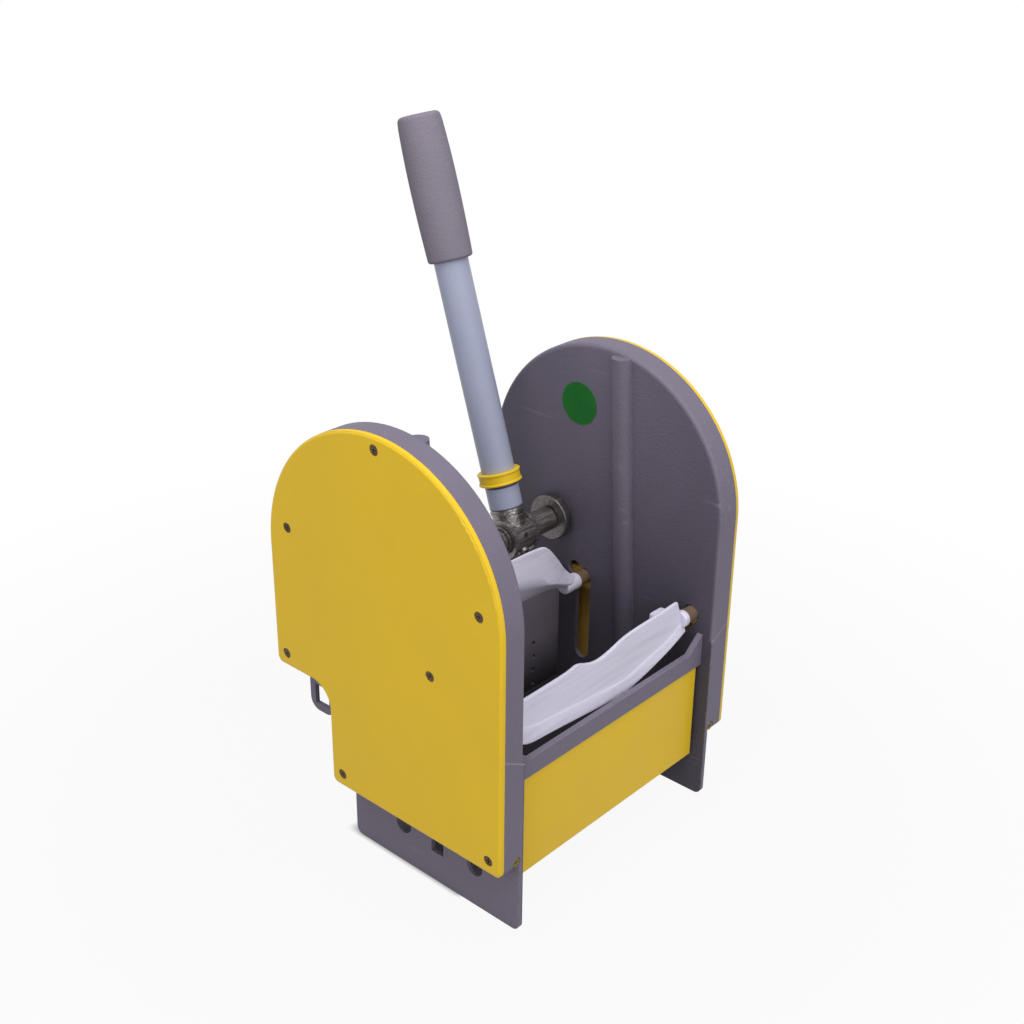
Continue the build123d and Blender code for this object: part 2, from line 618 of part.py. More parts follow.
with BuildPart() as handle_hub:
    with BuildSketch(HANDLE_AXIS):
        Circle(HUB_NECK_RADIUS)
    extrude(amount=TUBE_FOOT)
    with BuildSketch(HANDLE_AXIS.offset(TUBE_FOOT)):
        Circle(TUBE_RADIUS - TUBE_WALL - FIT)
    extrude(amount=SPIGOT_DEPTH)
    with BuildSketch(side_plane(HUB_X - HUB_HALF)):
        with Locations((SHAFT_Y, SHAFT_Z)):
            Circle(HUB_RADIUS)
    extrude(amount=2 * HUB_HALF)
    for bead_x in (HUB_X - HUB_HALF, HUB_X + HUB_HALF - HUB_BEAD_WIDTH):
        with BuildSketch(side_plane(bead_x)):
            with Locations((SHAFT_Y, SHAFT_Z)):
                Circle(HUB_RADIUS + HUB_BEAD)
        extrude(amount=HUB_BEAD_WIDTH)
    with BuildSketch(side_plane(HUB_X - HUB_HALF)):
        with Locations((SHAFT_Y, SHAFT_Z)):
            Circle(SHAFT_RADIUS + FIT)
    extrude(amount=2 * HUB_HALF, mode=Mode.SUBTRACT)
    with BuildSketch(HANDLE_SECTION):
        Circle(HUB_PIN_RADIUS + FIT)
    extrude(amount=2 * HUB_RADIUS, both=True, mode=Mode.SUBTRACT)

with BuildPart() as hub_pin:
    with BuildSketch(HANDLE_SECTION):
        Circle(HUB_PIN_RADIUS)
    extrude(amount=HUB_RADIUS, both=True)

# Handle: a steel tube, a yellow band near its foot and a ribbed grip
with BuildPart() as handle_tube:
    with BuildSketch(HANDLE_AXIS.offset(TUBE_FOOT)):
        Circle(TUBE_RADIUS)
        Circle(TUBE_RADIUS - TUBE_WALL, mode=Mode.SUBTRACT)
    extrude(amount=GRIP_TOP - GRIP_CAP - TUBE_FOOT)

with BuildPart() as handle_band:
    with BuildSketch(HANDLE_AXIS.offset(BAND_FOOT)):
        Circle(BAND_RADIUS)
        Circle(TUBE_RADIUS + FIT, mode=Mode.SUBTRACT)
    extrude(amount=BAND_HEIGHT)
    fillet(handle_band.edges().filter_by(GeomType.CIRCLE).sort_by(SortBy.RADIUS)[-2:], BAND_ROUND)

with BuildPart() as handle_grip:
    with BuildSketch(HANDLE_SECTION):
        with BuildLine():
            Polyline(
                (GRIP_END_RADIUS - GRIP_END_ROUND, GRIP_TOP),
                (0, GRIP_TOP),
                (0, GRIP_TOP - GRIP_CAP),
                (TUBE_RADIUS + FIT, GRIP_TOP - GRIP_CAP),
                (TUBE_RADIUS + FIT, GRIP_FOOT),
                (GRIP_FOOT_RADIUS, GRIP_FOOT),
            )
            ThreePointArc(
                (GRIP_FOOT_RADIUS, GRIP_FOOT),
                (GRIP_WAIST_RADIUS, (GRIP_FOOT + GRIP_TOP) / 2),
                (GRIP_END_RADIUS, GRIP_TOP - GRIP_END_ROUND),
            )
            RadiusArc(
                (GRIP_END_RADIUS, GRIP_TOP - GRIP_END_ROUND),
                (GRIP_END_RADIUS - GRIP_END_ROUND, GRIP_TOP),
                -GRIP_END_ROUND,
            )
        make_face()
    revolve(axis=Axis(HANDLE_AXIS.origin, HANDLE_AXIS.z_dir))

# Drive gears on the shaft ends, inside the housings
with BuildPart() as drive_gear_right:
    with BuildSketch(side_plane(GEAR_X)):
        gear_outline()
        with Locations((SHAFT_Y, SHAFT_Z)):
            Circle(SHAFT_RADIUS + FIT, mode=Mode.SUBTRACT)
            with PolarLocations(GEAR_WINDOW_CIRCLE, GEAR_WINDOWS):
                Circle(GEAR_WINDOW_RADIUS, mode=Mode.SUBTRACT)
    extrude(amount=GEAR_WIDTH)

with BuildPart() as drive_gear_left:
    mirror(drive_gear_right.part, about=Plane.YZ)

with BuildPart() as shaft_clips:
    bored_cylinder(GEAR_X + GEAR_WIDTH, CLIP_THICK, CLIP_RADIUS, SHAFT_RADIUS + FIT)
    mirror(about=Plane.YZ)

# Carriers: yellow plates with a rack, an arm slotted for the front jaw and a boss for the rear jaw
with BuildPart() as carrier_right:
    with BuildSketch(side_plane(GEAR_X)):
        rack_outline(REAR_PIVOT_YZ[1] - REAR_BOSS_RADIUS)
        with Locations((FRONT_PIVOT_YZ[0] - ARM_NOSE, FRONT_PIVOT_YZ[1])):
            Rectangle(
                RACK_ROOT - FRONT_PIVOT_YZ[0] + ARM_NOSE,
                2 * ARM_HALF_HEIGHT,
                align=(Align.MIN, Align.CENTER),
            )
        with Locations((RACK_BACK, REAR_PIVOT_YZ[1])):
            Rectangle(
                REAR_PIVOT_YZ[0] - RACK_BACK, 2 * REAR_BOSS_RADIUS, align=(Align.MIN, Align.CENTER)
            )
        with Locations((REAR_PIVOT_YZ[0] + EAR_REACH / 2, REAR_PIVOT_YZ[1] - EAR_DROP)):
            SlotCenterToCenter(EAR_REACH, 2 * EAR_RADIUS)
        with Locations(REAR_PIVOT_YZ):
            Circle(REAR_BOSS_RADIUS)
            Circle(TRUNNION_RADIUS + FIT, mode=Mode.SUBTRACT)
        with Locations((FRONT_PIVOT_YZ[0] + FRONT_DRIFT / 2, FRONT_PIVOT_YZ[1])):
            SlotCenterToCenter(FRONT_DRIFT, 2 * SLOT_RADIUS, mode=Mode.SUBTRACT)
    extrude(amount=CARRIER_THICK)

with BuildPart() as carrier_left:
    mirror(carrier_right.part, about=Plane.YZ)


def jaw_plane(pivot, facing):
    """Plane of a jaw bar through its trunnion axis: local y is up, and z leaves the bar's outer face."""
    origin = (0, ARCH_Y + pivot[0], ARCH_Z + pivot[1])
    return Plane(origin=origin, x_dir=(-facing, 0, 0), z_dir=(0, facing, 0))


def bar_strip(plane, rise, half, cut, dip, end_belly, lean):
    """Bent strip of a jaw bar, raised above its trunnions, with cut corners and a bowed lower edge."""
    edge = rise + BAR_EDGE
    crease = rise + BAR_CREASE
    belly = rise - BAR_BELLY
    cut_run, cut_drop = cut
    with BuildSketch(plane) as front_view:
        with BuildLine():
            Polyline(
                (-half, rise - end_belly),
                (-half, edge - cut_drop),
                (-half + cut_run, edge),
                (-BAR_DIP_HALF, edge),
            )
            ThreePointArc((-BAR_DIP_HALF, edge), (0, edge - dip), (BAR_DIP_HALF, edge))
            Polyline(
                (BAR_DIP_HALF, edge),
                (half - cut_run, edge),
                (half, edge - cut_drop),
                (half, rise - end_belly),
            )
            ThreePointArc((half, rise - end_belly), (0, belly), (-half, rise - end_belly))
        make_face()
    extrude(front_view.sketch, amount=2 * BAR_THICK, both=True)
    with BuildSketch(Plane(origin=plane.origin, x_dir=plane.z_dir, z_dir=-plane.x_dir)) as section:
        with BuildLine():
            Polyline(
                (BAR_FACE, edge - min(dip, 0)),
                (BAR_FACE - lean, crease),
                (BAR_FACE - lean + BAR_FLARE, belly),
                (BAR_FACE - lean + BAR_FLARE - BAR_THICK, belly),
                (BAR_FACE - lean - BAR_THICK, crease),
                (BAR_FACE - BAR_THICK, edge - min(dip, 0)),
                close=True,
            )
        make_face()
    extrude(section.sketch, amount=half, both=True, mode=Mode.INTERSECT)


def bar_ends(plane, start, finish, radius):
    """Round ends on the trunnion axis, alike on both sides, from start to finish."""
    for side in (-1, 1):
        end = Plane(origin=plane.origin, x_dir=plane.z_dir, z_dir=plane.x_dir * side)
        with BuildSketch(end.offset(start)) as boss:
            Circle(radius)
        extrude(boss.sketch, amount=finish - start)


def trunnion_clips(pivot):
    """Retaining rings on the trunnion ends, outside the carriers."""
    with BuildSketch(side_plane(CARRIER_OUT + END_FLOAT)) as ring:
        with Locations(pivot):
            Circle(TRUNNION_CLIP_RADIUS)
            Circle(TRUNNION_RADIUS + FIT, mode=Mode.SUBTRACT)
    extrude(ring.sketch, amount=CLIP_THICK)
    mirror(about=Plane.YZ)


# Front jaw: a bent strip with a lug behind its right end
with BuildPart() as front_jaw_bar:
    front_jaw = jaw_plane(FRONT_PIVOT_YZ, -1)
    bar_strip(
        front_jaw, 0, BAR_HALF, FRONT_BAR_CUT, FRONT_BAR_DIP, FRONT_BAR_END_BELLY, FRONT_BAR_LEAN
    )
    bar_ends(front_jaw, BAR_HALF, TRUNNION_END, TRUNNION_RADIUS)
    with BuildSketch(front_jaw.offset(BAR_FACE - BAR_THICK - BAR_LUG_DEPTH)):
        with Locations((BAR_LUG_X, 0)):
            Rectangle(BAR_LUG_WIDTH, BAR_LUG_HEIGHT, align=(Align.CENTER, Align.MIN))
    extrude(amount=BAR_LUG_DEPTH + BAR_THICK / 2)

# Rear jaw: a strip that stands on two feet above its trunnions
with BuildPart() as rear_jaw_bar:
    rear_jaw = jaw_plane(REAR_PIVOT_YZ, 1)
    bar_strip(
        rear_jaw,
        REAR_BAR_RISE,
        REAR_BAR_HALF,
        REAR_BAR_CUT,
        REAR_BAR_DIP,
        REAR_BAR_END_BELLY,
        REAR_BAR_LEAN,
    )
    with BuildSketch(rear_jaw.offset(BAR_FACE - REAR_BAR_LEAN - BAR_THICK)):
        for side in (-1, 1):
            with Locations((side * (REAR_BAR_HALF - REAR_FOOT_WIDTH / 2), -BAR_BOSS_RADIUS)):
                Rectangle(
                    REAR_FOOT_WIDTH,
                    BAR_BOSS_RADIUS + REAR_BAR_RISE + BAR_CREASE,
                    align=(Align.CENTER, Align.MIN),
                )
    extrude(amount=BAR_THICK)
    bar_ends(rear_jaw, REAR_BAR_HALF - REAR_FOOT_WIDTH, BAR_HALF, BAR_BOSS_RADIUS)
    bar_ends(rear_jaw, BAR_HALF, TRUNNION_END, TRUNNION_RADIUS)

with BuildPart() as front_trunnion_clips:
    trunnion_clips(FRONT_PIVOT_YZ)

with BuildPart() as rear_trunnion_clips:
    trunnion_clips(REAR_PIVOT_YZ)

PIECES = {
    "side_frame_right": side_frame_right,
    "side_frame_left": side_frame_left,
    "cover_right": cover_right,
    "cover_left": cover_left,
    "cover_screws": cover_screws,
    "front_rail": front_rail,
    "front_panel": front_panel,
    "rear_panel": rear_panel,
    "tie_screws": tie_screws,
    "front_screws": front_screws,
    "green_disc": green_disc,
    "shaft_bush_right": shaft_bush_right,
    "shaft_bush_left": shaft_bush_left,
    "lever_shaft": lever_shaft,
    "sleeve_right": sleeve_right,
    "sleeve_left": sleeve_left,
    "handle_hub": handle_hub,
    "hub_pin": hub_pin,
    "handle_tube": handle_tube,
    "handle_band": handle_band,
    "handle_grip": handle_grip,
    "drive_gear_right": drive_gear_right,
    "drive_gear_left": drive_gear_left,
    "shaft_clips": shaft_clips,
    "carrier_right": carrier_right,
    "carrier_left": carrier_left,
    "front_jaw_bar": front_jaw_bar,
    "rear_jaw_bar": rear_jaw_bar,
    "front_trunnion_clips": front_trunnion_clips,
    "rear_trunnion_clips": rear_trunnion_clips,
}

os.makedirs("parts", exist_ok=True)
for name, piece in PIECES.items():
    piece.part.label = name
    export_step(piece.part, f"parts/{name}.step")
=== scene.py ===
"""Mop wringer: moulded housings, white jaws, a cast hub and a foam grip, dressed round the CAD frame."""

import json
from math import cos, pi, radians, sin

import bmesh
import bpy
from bpy.props import FloatProperty, FloatVectorProperty, PointerProperty
from mathutils import Matrix, Vector


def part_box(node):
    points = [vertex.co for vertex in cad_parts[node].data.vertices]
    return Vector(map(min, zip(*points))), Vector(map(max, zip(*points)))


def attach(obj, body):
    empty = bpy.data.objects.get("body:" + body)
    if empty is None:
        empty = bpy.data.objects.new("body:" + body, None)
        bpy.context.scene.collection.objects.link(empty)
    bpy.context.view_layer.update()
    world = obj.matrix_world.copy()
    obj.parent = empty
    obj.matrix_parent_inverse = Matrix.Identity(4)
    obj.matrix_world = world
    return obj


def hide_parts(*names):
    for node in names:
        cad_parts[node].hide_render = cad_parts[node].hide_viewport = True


bl_info = {
    "name": "Mop Wringer",
    "version": (1, 0, 0),
    "blender": (4, 5, 0),
    "location": "View3D > Sidebar > Wringer",
    "description": "Dresses a packed mop wringer with moulded plastic, cast metal and a foam grip",
    "category": "Object",
}

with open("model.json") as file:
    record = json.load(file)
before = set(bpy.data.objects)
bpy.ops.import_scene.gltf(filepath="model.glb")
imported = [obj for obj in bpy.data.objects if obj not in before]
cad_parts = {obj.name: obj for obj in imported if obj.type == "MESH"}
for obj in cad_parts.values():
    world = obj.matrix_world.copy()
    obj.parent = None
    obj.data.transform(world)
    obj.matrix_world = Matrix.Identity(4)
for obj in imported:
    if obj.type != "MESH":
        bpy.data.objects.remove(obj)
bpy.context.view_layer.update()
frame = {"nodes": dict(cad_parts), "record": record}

# Places read from the frame: the arch's centre, the inner walls, the shaft line and the handle's foot
FRAME_LOW, FRAME_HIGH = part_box("side_frame_right")
SHAFT_LOW, SHAFT_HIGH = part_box("lever_shaft")
HUB_LOW, HUB_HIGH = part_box("handle_hub")
BUSH_LOW, BUSH_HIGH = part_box("shaft_bush_right")
ARCH_RADIUS = (FRAME_HIGH.y - FRAME_LOW.y) / 2
ARCH_CENTRE = Vector((0.0, FRAME_LOW.y + ARCH_RADIUS, FRAME_HIGH.z - ARCH_RADIUS))
INNER_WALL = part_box("front_rail")[1].x
SHAFT_Y = (SHAFT_LOW.y + SHAFT_HIGH.y) / 2
SHAFT_Z = (SHAFT_LOW.z + SHAFT_HIGH.z) / 2
RUNNING_FIT = 0.00005
SHAFT_BORE = (SHAFT_HIGH.z - SHAFT_LOW.z) / 2 + RUNNING_FIT
HUB_X = (HUB_LOW.x + HUB_HIGH.x) / 2
SIDES = ((1, "right"), (-1, "left"))

# Distance under which points are one, millimetres in a metre, and colours that belong to no finish
SAME_POINT = 0.00001
MILLIMETRES = 1000.0
WHITE = (1.0, 1.0, 1.0, 1.0)
SPECK_PALE = (0.55, 0.53, 0.58, 1.0)
# Near-black laid on the bottom of the drain floor and the drain panel's foot
DEEP_BLACK = (0.008, 0.008, 0.010, 1.0)
# Painted glow: brighter yellow for the plastic inside the housings
PAINTED_GLOW_YELLOW = (1.0, 0.62, 0.13, 1.0)

# Rows of points across the front jaw bar, top to bottom, in millimetres from the arch's centre: the row's Y,
# then the X and Z of its points
FRONT_JAW_ROWS = (
    (-97, (
        (-96, -72.4), (-86, -72.3), (-70, -72.3), (-52, -71.8), (-37, -71.7), (-29, -68.9), (-21, -72.4),
        (-12, -75.9), (-3, -77.1), (8, -75.6), (18, -73.2), (29, -70), (45, -69.2), (66, -68.7),
        (86, -67.7), (96, -67.2),
    )),
    (-99.3, (
        (-100, -88.4), (-89, -94.4), (-73, -96.8), (-55, -98.6), (-39, -100.1), (-31, -100.9), (-23, -101.7),
        (-14, -102.6), (-5, -103.4), (6, -104.4), (16, -105.4), (27, -106.1), (43, -102.4), (64, -97.7),
        (86, -93.4), (100, -84.4),
    )),
    (-100.2, (
        (-100.5, -89.9), (-89, -95.9), (-73, -98.3), (-55, -100.1), (-39, -101.6), (-31, -102.4), (-23, -103.2),
        (-14, -104.1), (-5, -104.9), (6, -105.9), (16, -106.9), (27, -107.6), (43, -103.9), (64, -99.2),
        (86, -94.9), (100.5, -85.9),
    )),
    (-102.4, (
        (-103, -99.4), (-92.5, -108.1), (-76, -109.1), (-58, -110.4), (-42, -112), (-34, -112.6), (-26, -113.5),
        (-17, -114.5), (-8, -115.2), (3, -115.9), (13, -117.2), (24, -118), (41, -114), (62, -109),
        (84, -102.4), (102, -94.4),
    )),
)
# Rows of points across the right half of the rear jaw bar, in the same way: the X, Y and Z of each point
REAR_JAW_ROWS = (
    ((0, 9.5, -37.5), (20, 9.5, -37.6), (42, 9.5, -38.3), (54, 9.5, -39.3), (59, 9.5, -41.5), (67, 9.7, -50),
     (77, 10.5, -62.5), (86, 12, -74.5), (99, 13, -84)),
    ((0, 5, -57), (21, 5, -61.7), (32, 5, -65.6), (45, 5, -69.7), (57, 5, -73.7), (66, 5.5, -77),
     (76, 7, -82), (88, 8.4, -87.5), (99, 8.6, -90)),
    ((0, 17, -86.5), (24, 17, -86.5), (37, 17, -86.8), (50, 17, -87), (60, 16, -86.8), (67, 14, -86),
     (77, 13, -88), (88, 13, -92.5), (99, 13.5, -96)),
)
# Each jaw's trunnion line (Y and Z), and the X in metres at which its white bosses start
JAW_ENDS = {"front_jaw": ((-98, -84), 0.098), "rear_jaw": ((15, -91.4), 0.086)}
# Place of each lamp, the point it is turned to and its size, in metres
LAMPS = {
    "overhead": ((-0.3, -0.5, 2.2), (0.0, -0.05, 0.2), 2.0),
    "side": ((-2.4, -0.7, 1.3), (0.0, -0.05, 0.25), 1.6),
    "front": ((-0.6, -2.4, 1.3), (0.0, -0.05, 0.25), 1.6),
}


def at(x, y, z):
    """Point given in millimetres from the arch's centre."""
    return ARCH_CENTRE + Vector((x, y, z)) / MILLIMETRES


def colour(name, text, default):
    """Colour property of a finish, in linear values."""
    return FloatVectorProperty(
        name=name, description=text, subtype="COLOR", size=3, min=0.0, max=1.0, default=default
    )


def length(name, text, default):
    """Length property in metres."""
    return FloatProperty(name=name, description=text, default=default, min=0.0, unit="LENGTH", precision=4)


def angle(name, text, degrees):
    """Angle property, given in degrees."""
    return FloatProperty(name=name, description=text, default=radians(degrees), subtype="ANGLE")


def power(name, text, default):
    """Power property of a lamp, in watts."""
    return FloatProperty(name=name, description=text, default=default, unit="POWER")


class WringerColours(bpy.types.PropertyGroup):
    """Colours of the wringer's finishes"""

    frame_grey: colour("Frame grey", "Grained plastic of the side frames and rail", (0.165, 0.144, 0.195))
    yellow: colour("Yellow", "Plastic of the covers, front panel, band and carriers", (0.77, 0.505, 0.022))
    jaw_white: colour("Jaw white", "Plastic of the two jaw bars", (0.66, 0.635, 0.77))
    trunnion: colour("Trunnions", "Worn brown ends of the jaw bars", (0.16, 0.10, 0.06))
    rear_grey: colour("Rear panel", "Plastic of the drain panel", (0.26, 0.23, 0.285))
    tube_paint: colour("Tube paint", "Blue-grey paint of the handle tube", (0.35, 0.372, 0.50))
    grip_rubber: colour("Grip rubber", "Foam rubber of the handle grip", (0.215, 0.19, 0.237))
    green: colour("Green disc", "Film of the inspection disc", (0.008, 0.135, 0.018))
    cast: colour("Cast metal", "Hub, bushes and sleeves", (0.21, 0.19, 0.188))
    steel: colour("Steel", "Shaft, pin and clips", (0.22, 0.21, 0.205))
    screw: colour("Screws", "Browned steel screws", (0.055, 0.03, 0.018))
    brass: colour("Brass", "Brass inserts of the front screws", (0.13, 0.10, 0.032))
    nylon: colour("Gear nylon", "Nylon of the drive gears", (0.55, 0.52, 0.46))


class WringerSizes(bpy.types.PropertyGroup):
    """Sizes of the modelled details"""

    lean: angle("Handle lean", "Backward lean of the handle", 17.5)
    frame_edge: length("Frame edge", "Rounding of the side frames' moulded edges", 0.0007)
    panel_edge: length("Panel edge", "Rounding of the panels' edges", 0.0006)
    panel_gap: length("Panel gap", "Gap between the front panel's ends and the side frames", 0.0042)
    cover_foot: length("Rim foot", "Depth of the covers' rims behind the covers' faces", 0.0042)
    cover_rim: length("Rim height", "Height of the square rims along the covers' edges", 0.0034)
    cover_edge: length("Cover pockets", "Rounding of the covers' screw pockets and rims", 0.0007)
    screw_edge: length("Screw edge", "Rounding of the screw heads", 0.0003)
    jaw_edge: length("Jaw edge", "Rounding of the jaw bars' edges", 0.0008)
    jaw_fold: FloatProperty(
        name="Jaw fold", description="Sharpness of the folds along the jaw bars", default=0.9, min=0.0, max=1.0,
        subtype="FACTOR",
    )
    jaw_thick: length("Jaw thickness", "Thickness of the jaw bars", 0.0032)
    boss_radius: length("Boss radius", "Radius of the white bosses at the jaw bars' ends", 0.0070)
    trunnion_radius: length("Trunnion radius", "Radius of the jaw bars' trunnions", 0.0064)
    boss_end: length("Boss end", "Distance of the bosses' ends from the middle", 0.1040)
    hub_edge: length("Hub edge", "Rounding of the cast hub's edges", 0.0008)
    tube_radius: length("Tube radius", "Outer radius of the handle tube", 0.014)
    tube_foot: length("Tube foot", "Distance of the tube's foot from the shaft", 0.0245)
    band_foot: length("Band foot", "Distance of the yellow band from the shaft", 0.046)
    band_height: length("Band height", "Height of the yellow band", 0.0105)
    band_radius: length("Band radius", "Outer radius of the yellow band", 0.018)
    grip_foot: length("Grip foot", "Distance of the grip's foot from the shaft", 0.232)
    grip_top: length("Grip top", "Distance of the grip's end from the shaft", 0.347)
    grip_foot_radius: length("Grip foot radius", "Radius at the grip's foot", 0.0182)
    grip_waist_radius: length("Grip waist radius", "Largest radius of the grip", 0.0192)
    grip_end_radius: length("Grip end radius", "Radius at the grip's end", 0.0173)
    grip_round: length("Grip rounding", "Rounding of the grip's ends", 0.004)
    flange_thick: length("Flange thickness", "Thickness of the bushes' flanges", 0.008)
    flange_step: length("Flange step", "Radius of the step behind the flanges", 0.015)
    bush_radius: length("Bush radius", "Radius of the bushes inside the walls", 0.012)
    bolt_radius: length("Bolt radius", "Radius of the hub's clamp bolt", 0.0048)


class WringerStage(bpy.types.PropertyGroup):
    """Camera, floor and light"""

    camera_place: FloatVectorProperty(
        name="Camera", description="Place of the camera from the arch's centre", subtype="XYZ",
        default=(-0.7693, -0.6910, 0.5134),
    )
    azimuth: angle("Azimuth", "Turn of the camera about Z", -48.2)
    elevation: angle("Elevation", "Height angle of the camera", 25.75)
    roll: angle("Roll", "Roll of the camera", 0.67)
    lens: FloatProperty(
        name="Lens", description="Focal length on a 36 mm sensor", default=52.24, subtype="DISTANCE_CAMERA"
    )
    floor: colour("Floor", "Pale floor", (0.30, 0.30, 0.30))
    world: FloatProperty(name="World", description="Strength of the room's light", default=0.45, min=0.0)
    key: power("Key light", "Power of the overhead light", 35.0)
    side: power("Side light", "Power of the light on the left", 19.0)
    front: power("Front light", "Power of the light on the right", 15.5)


class Tree:
    """Adds and links nodes in one shader tree"""

    def __init__(self, tree):
        self.tree = tree

    def add(self, kind, inputs=None, **settings):
        node = self.tree.nodes.new(kind)
        for key, value in settings.items():
            setattr(node, key, value)
        for key, value in (inputs or {}).items():
            self.feed(node.inputs[key], value)
        return node

    def feed(self, socket, value):
        if isinstance(value, bpy.types.NodeSocket):
            self.tree.links.new(value, socket)
        else:
            socket.default_value = value

    def math(self, operation, first, second=0.0, clamp=False):
        node = self.add("ShaderNodeMath", {0: first, 1: second}, operation=operation, use_clamp=clamp)
        return node.outputs[0]

    def product(self, *factors):
        result = factors[0]
        for factor in factors[1:]:
            result = self.math("MULTIPLY", result, factor)
        return result

    def masked(self, mask, pattern, amount):
        return self.math("MULTIPLY", self.product(mask, pattern), amount, clamp=True)

    def span(self, value, low, high, to_low=0.0, to_high=1.0):
        node = self.add(
            "ShaderNodeMapRange",
            {"Value": value, "From Min": low, "From Max": high, "To Min": to_low, "To Max": to_high},
        )
        return node.outputs["Result"]

    def mix(self, factor, first, second):
        node = self.add("ShaderNodeMix", data_type="RGBA")
        self.feed(node.inputs[0], factor)
        self.feed(node.inputs[6], first)
        self.feed(node.inputs[7], second)
        return node.outputs[2]

    def place(self, stretch=(1.0, 1.0, 1.0), turn=(0.0, 0.0, 0.0), shift=(0.0, 0.0, 0.0)):
        coords = self.add("ShaderNodeTexCoord")
        node = self.add(
            "ShaderNodeMapping",
            {"Vector": coords.outputs["Object"], "Location": shift, "Rotation": turn, "Scale": stretch},
        )
        return node.outputs["Vector"]

    def axes(self):
        """X, Y and Z of the point being shaded, in the part's frame."""
        coords = self.add("ShaderNodeTexCoord")
        return self.add("ShaderNodeSeparateXYZ", {"Vector": coords.outputs["Object"]}).outputs

    def across(self):
        """Distance of the point being shaded from the part's middle plane."""
        return self.math("ABSOLUTE", self.axes()["X"])

    def noise(self, vector, scale, detail, roughness):
        node = self.add(
            "ShaderNodeTexNoise",
            {"Vector": vector, "Scale": scale, "Detail": detail, "Roughness": roughness},
        )
        return node.outputs["Fac"]

    def clouds(self, scale, low, high, most=1.0, detail=4.0, roughness=0.6, **place):
        """Noise in the part's frame, spread from 0 to most between two of its levels."""
        return self.span(self.noise(self.place(**place), scale, detail, roughness), low, high, 0.0, most)


def rgba(value, factor=1.0):
    """Four-number colour from a colour property, scaled."""
    return (*[min(1.0, channel * factor) for channel in value], 1.0)


def shader_group(name, inputs, outputs):
    """Empty shader group with float inputs and outputs; returns its tree, input and output sockets."""
    group = bpy.data.node_groups.new(name, "ShaderNodeTree")
    for label, default in inputs:
        socket = group.interface.new_socket(name=label, in_out="INPUT", socket_type="NodeSocketFloat")
        socket.default_value = default
    for label in outputs:
        group.interface.new_socket(name=label, in_out="OUTPUT", socket_type="NodeSocketFloat")
    tree = Tree(group)
    return tree, tree.add("NodeGroupInput").outputs, tree.add("NodeGroupOutput").inputs


def grain_group():
    """Fine moulded grain for the bump, and broad patches for colour and gloss."""
    pit_share = 0.5
    tree, given, out = shader_group("Moulded Grain", [("Scale", 900.0)], ["Height", "Mottle"])
    place = tree.place()
    fine = tree.noise(place, given["Scale"], detail=2.0, roughness=0.55)
    pits = tree.add("ShaderNodeTexVoronoi", {"Vector": place, "Scale": given["Scale"]}, feature="SMOOTH_F1")
    tree.feed(out["Height"], tree.math("ADD", fine, tree.math("MULTIPLY", pits.outputs["Distance"], pit_share)))
    tree.feed(out["Mottle"], tree.clouds(scale=14.0, low=0.3, high=0.7))


def wear_group():
    """Broken wear where a rounded normal turns away from the true one, along outer and inner edges."""
    same_turn, full_turn = 0.97, 0.75
    tree, given, out = shader_group("Edge Wear", [("Radius", 0.002), ("Amount", 0.5)], ["Mask"])
    round_edge = tree.add("ShaderNodeBevel", {"Radius": given["Radius"]}, samples=6)
    geometry = tree.add("ShaderNodeNewGeometry")
    same = tree.add(
        "ShaderNodeVectorMath",
        {0: round_edge.outputs["Normal"], 1: geometry.outputs["Normal"]},
        operation="DOT_PRODUCT",
    )
    turned_away = tree.span(same.outputs["Value"], same_turn, full_turn)
    broken = tree.clouds(scale=120.0, low=0.35, high=0.65, roughness=0.65)
    tree.feed(out["Mask"], tree.masked(turned_away, broken, given["Amount"]))


def scuff_group():
    """Thin scratches in three directions, in patches."""
    stretch = (1.0, 0.06, 1.0)
    directions = (((0.4, 0.3, 0.2), 0.0), ((-0.7, 0.5, 1.1), 3.1), ((1.2, -0.6, -0.4), 7.7))
    tree, given, out = shader_group("Scuff Marks", [("Scale", 60.0), ("Amount", 0.5)], ["Mask"])
    marks = [
        tree.clouds(
            given["Scale"], low=0.66, high=0.74, detail=3.0, roughness=0.7,
            stretch=stretch, turn=turn, shift=(shift, shift, shift),
        )
        for turn, shift in directions
    ]
    lines = tree.math("MAXIMUM", tree.math("MAXIMUM", marks[0], marks[1]), marks[2])
    patches = tree.clouds(scale=18.0, low=0.48, high=0.62, detail=2.0, roughness=0.55)
    tree.feed(out["Mask"], tree.masked(lines, patches, given["Amount"]))


def grime_and_shade_group():
    """Cloudy grime and painted shade in corners, from ambient occlusion."""
    open_air, tucked_in = 0.85, 0.25
    tree, given, out = shader_group("Corner Grime And Shade", [("Distance", 0.012), ("Amount", 0.5)], ["Mask"])
    corner = tree.add("ShaderNodeAmbientOcclusion", {"Distance": given["Distance"]}, samples=6)
    # painted shade and grime: darker where the ambient occlusion finds a corner
    tucked = tree.span(corner.outputs["AO"], open_air, tucked_in)
    clouds = tree.clouds(scale=45.0, low=0.25, high=0.7)
    tree.feed(out["Mask"], tree.masked(tucked, clouds, given["Amount"]))


def speck_group():
    """Scattered pale specks."""
    edge, core = 0.09, 0.05
    tree, given, out = shader_group("Pale Specks", [("Scale", 55.0), ("Share", 0.05)], ["Mask"])
    cells = tree.add("ShaderNodeTexVoronoi", {"Vector": tree.place(), "Scale": given["Scale"]})
    chosen = tree.math("LESS_THAN", cells.outputs["Color"], given["Share"])
    dots = tree.span(cells.outputs["Distance"], edge, core)
    tree.feed(out["Mask"], tree.math("MULTIPLY", chosen, dots, clamp=True))


def group_node(tree, name, **values):
    """Places a shared group in a material with its own values; returns its outputs."""
    node = tree.add("ShaderNodeGroup")
    node.node_tree = bpy.data.node_groups[name]
    for key, value in values.items():
        node.inputs[key].default_value = value
    return node.outputs


def finish_name(slot):
    """Name of the material that dresses a record slot."""
    return f"{slot}_finish"


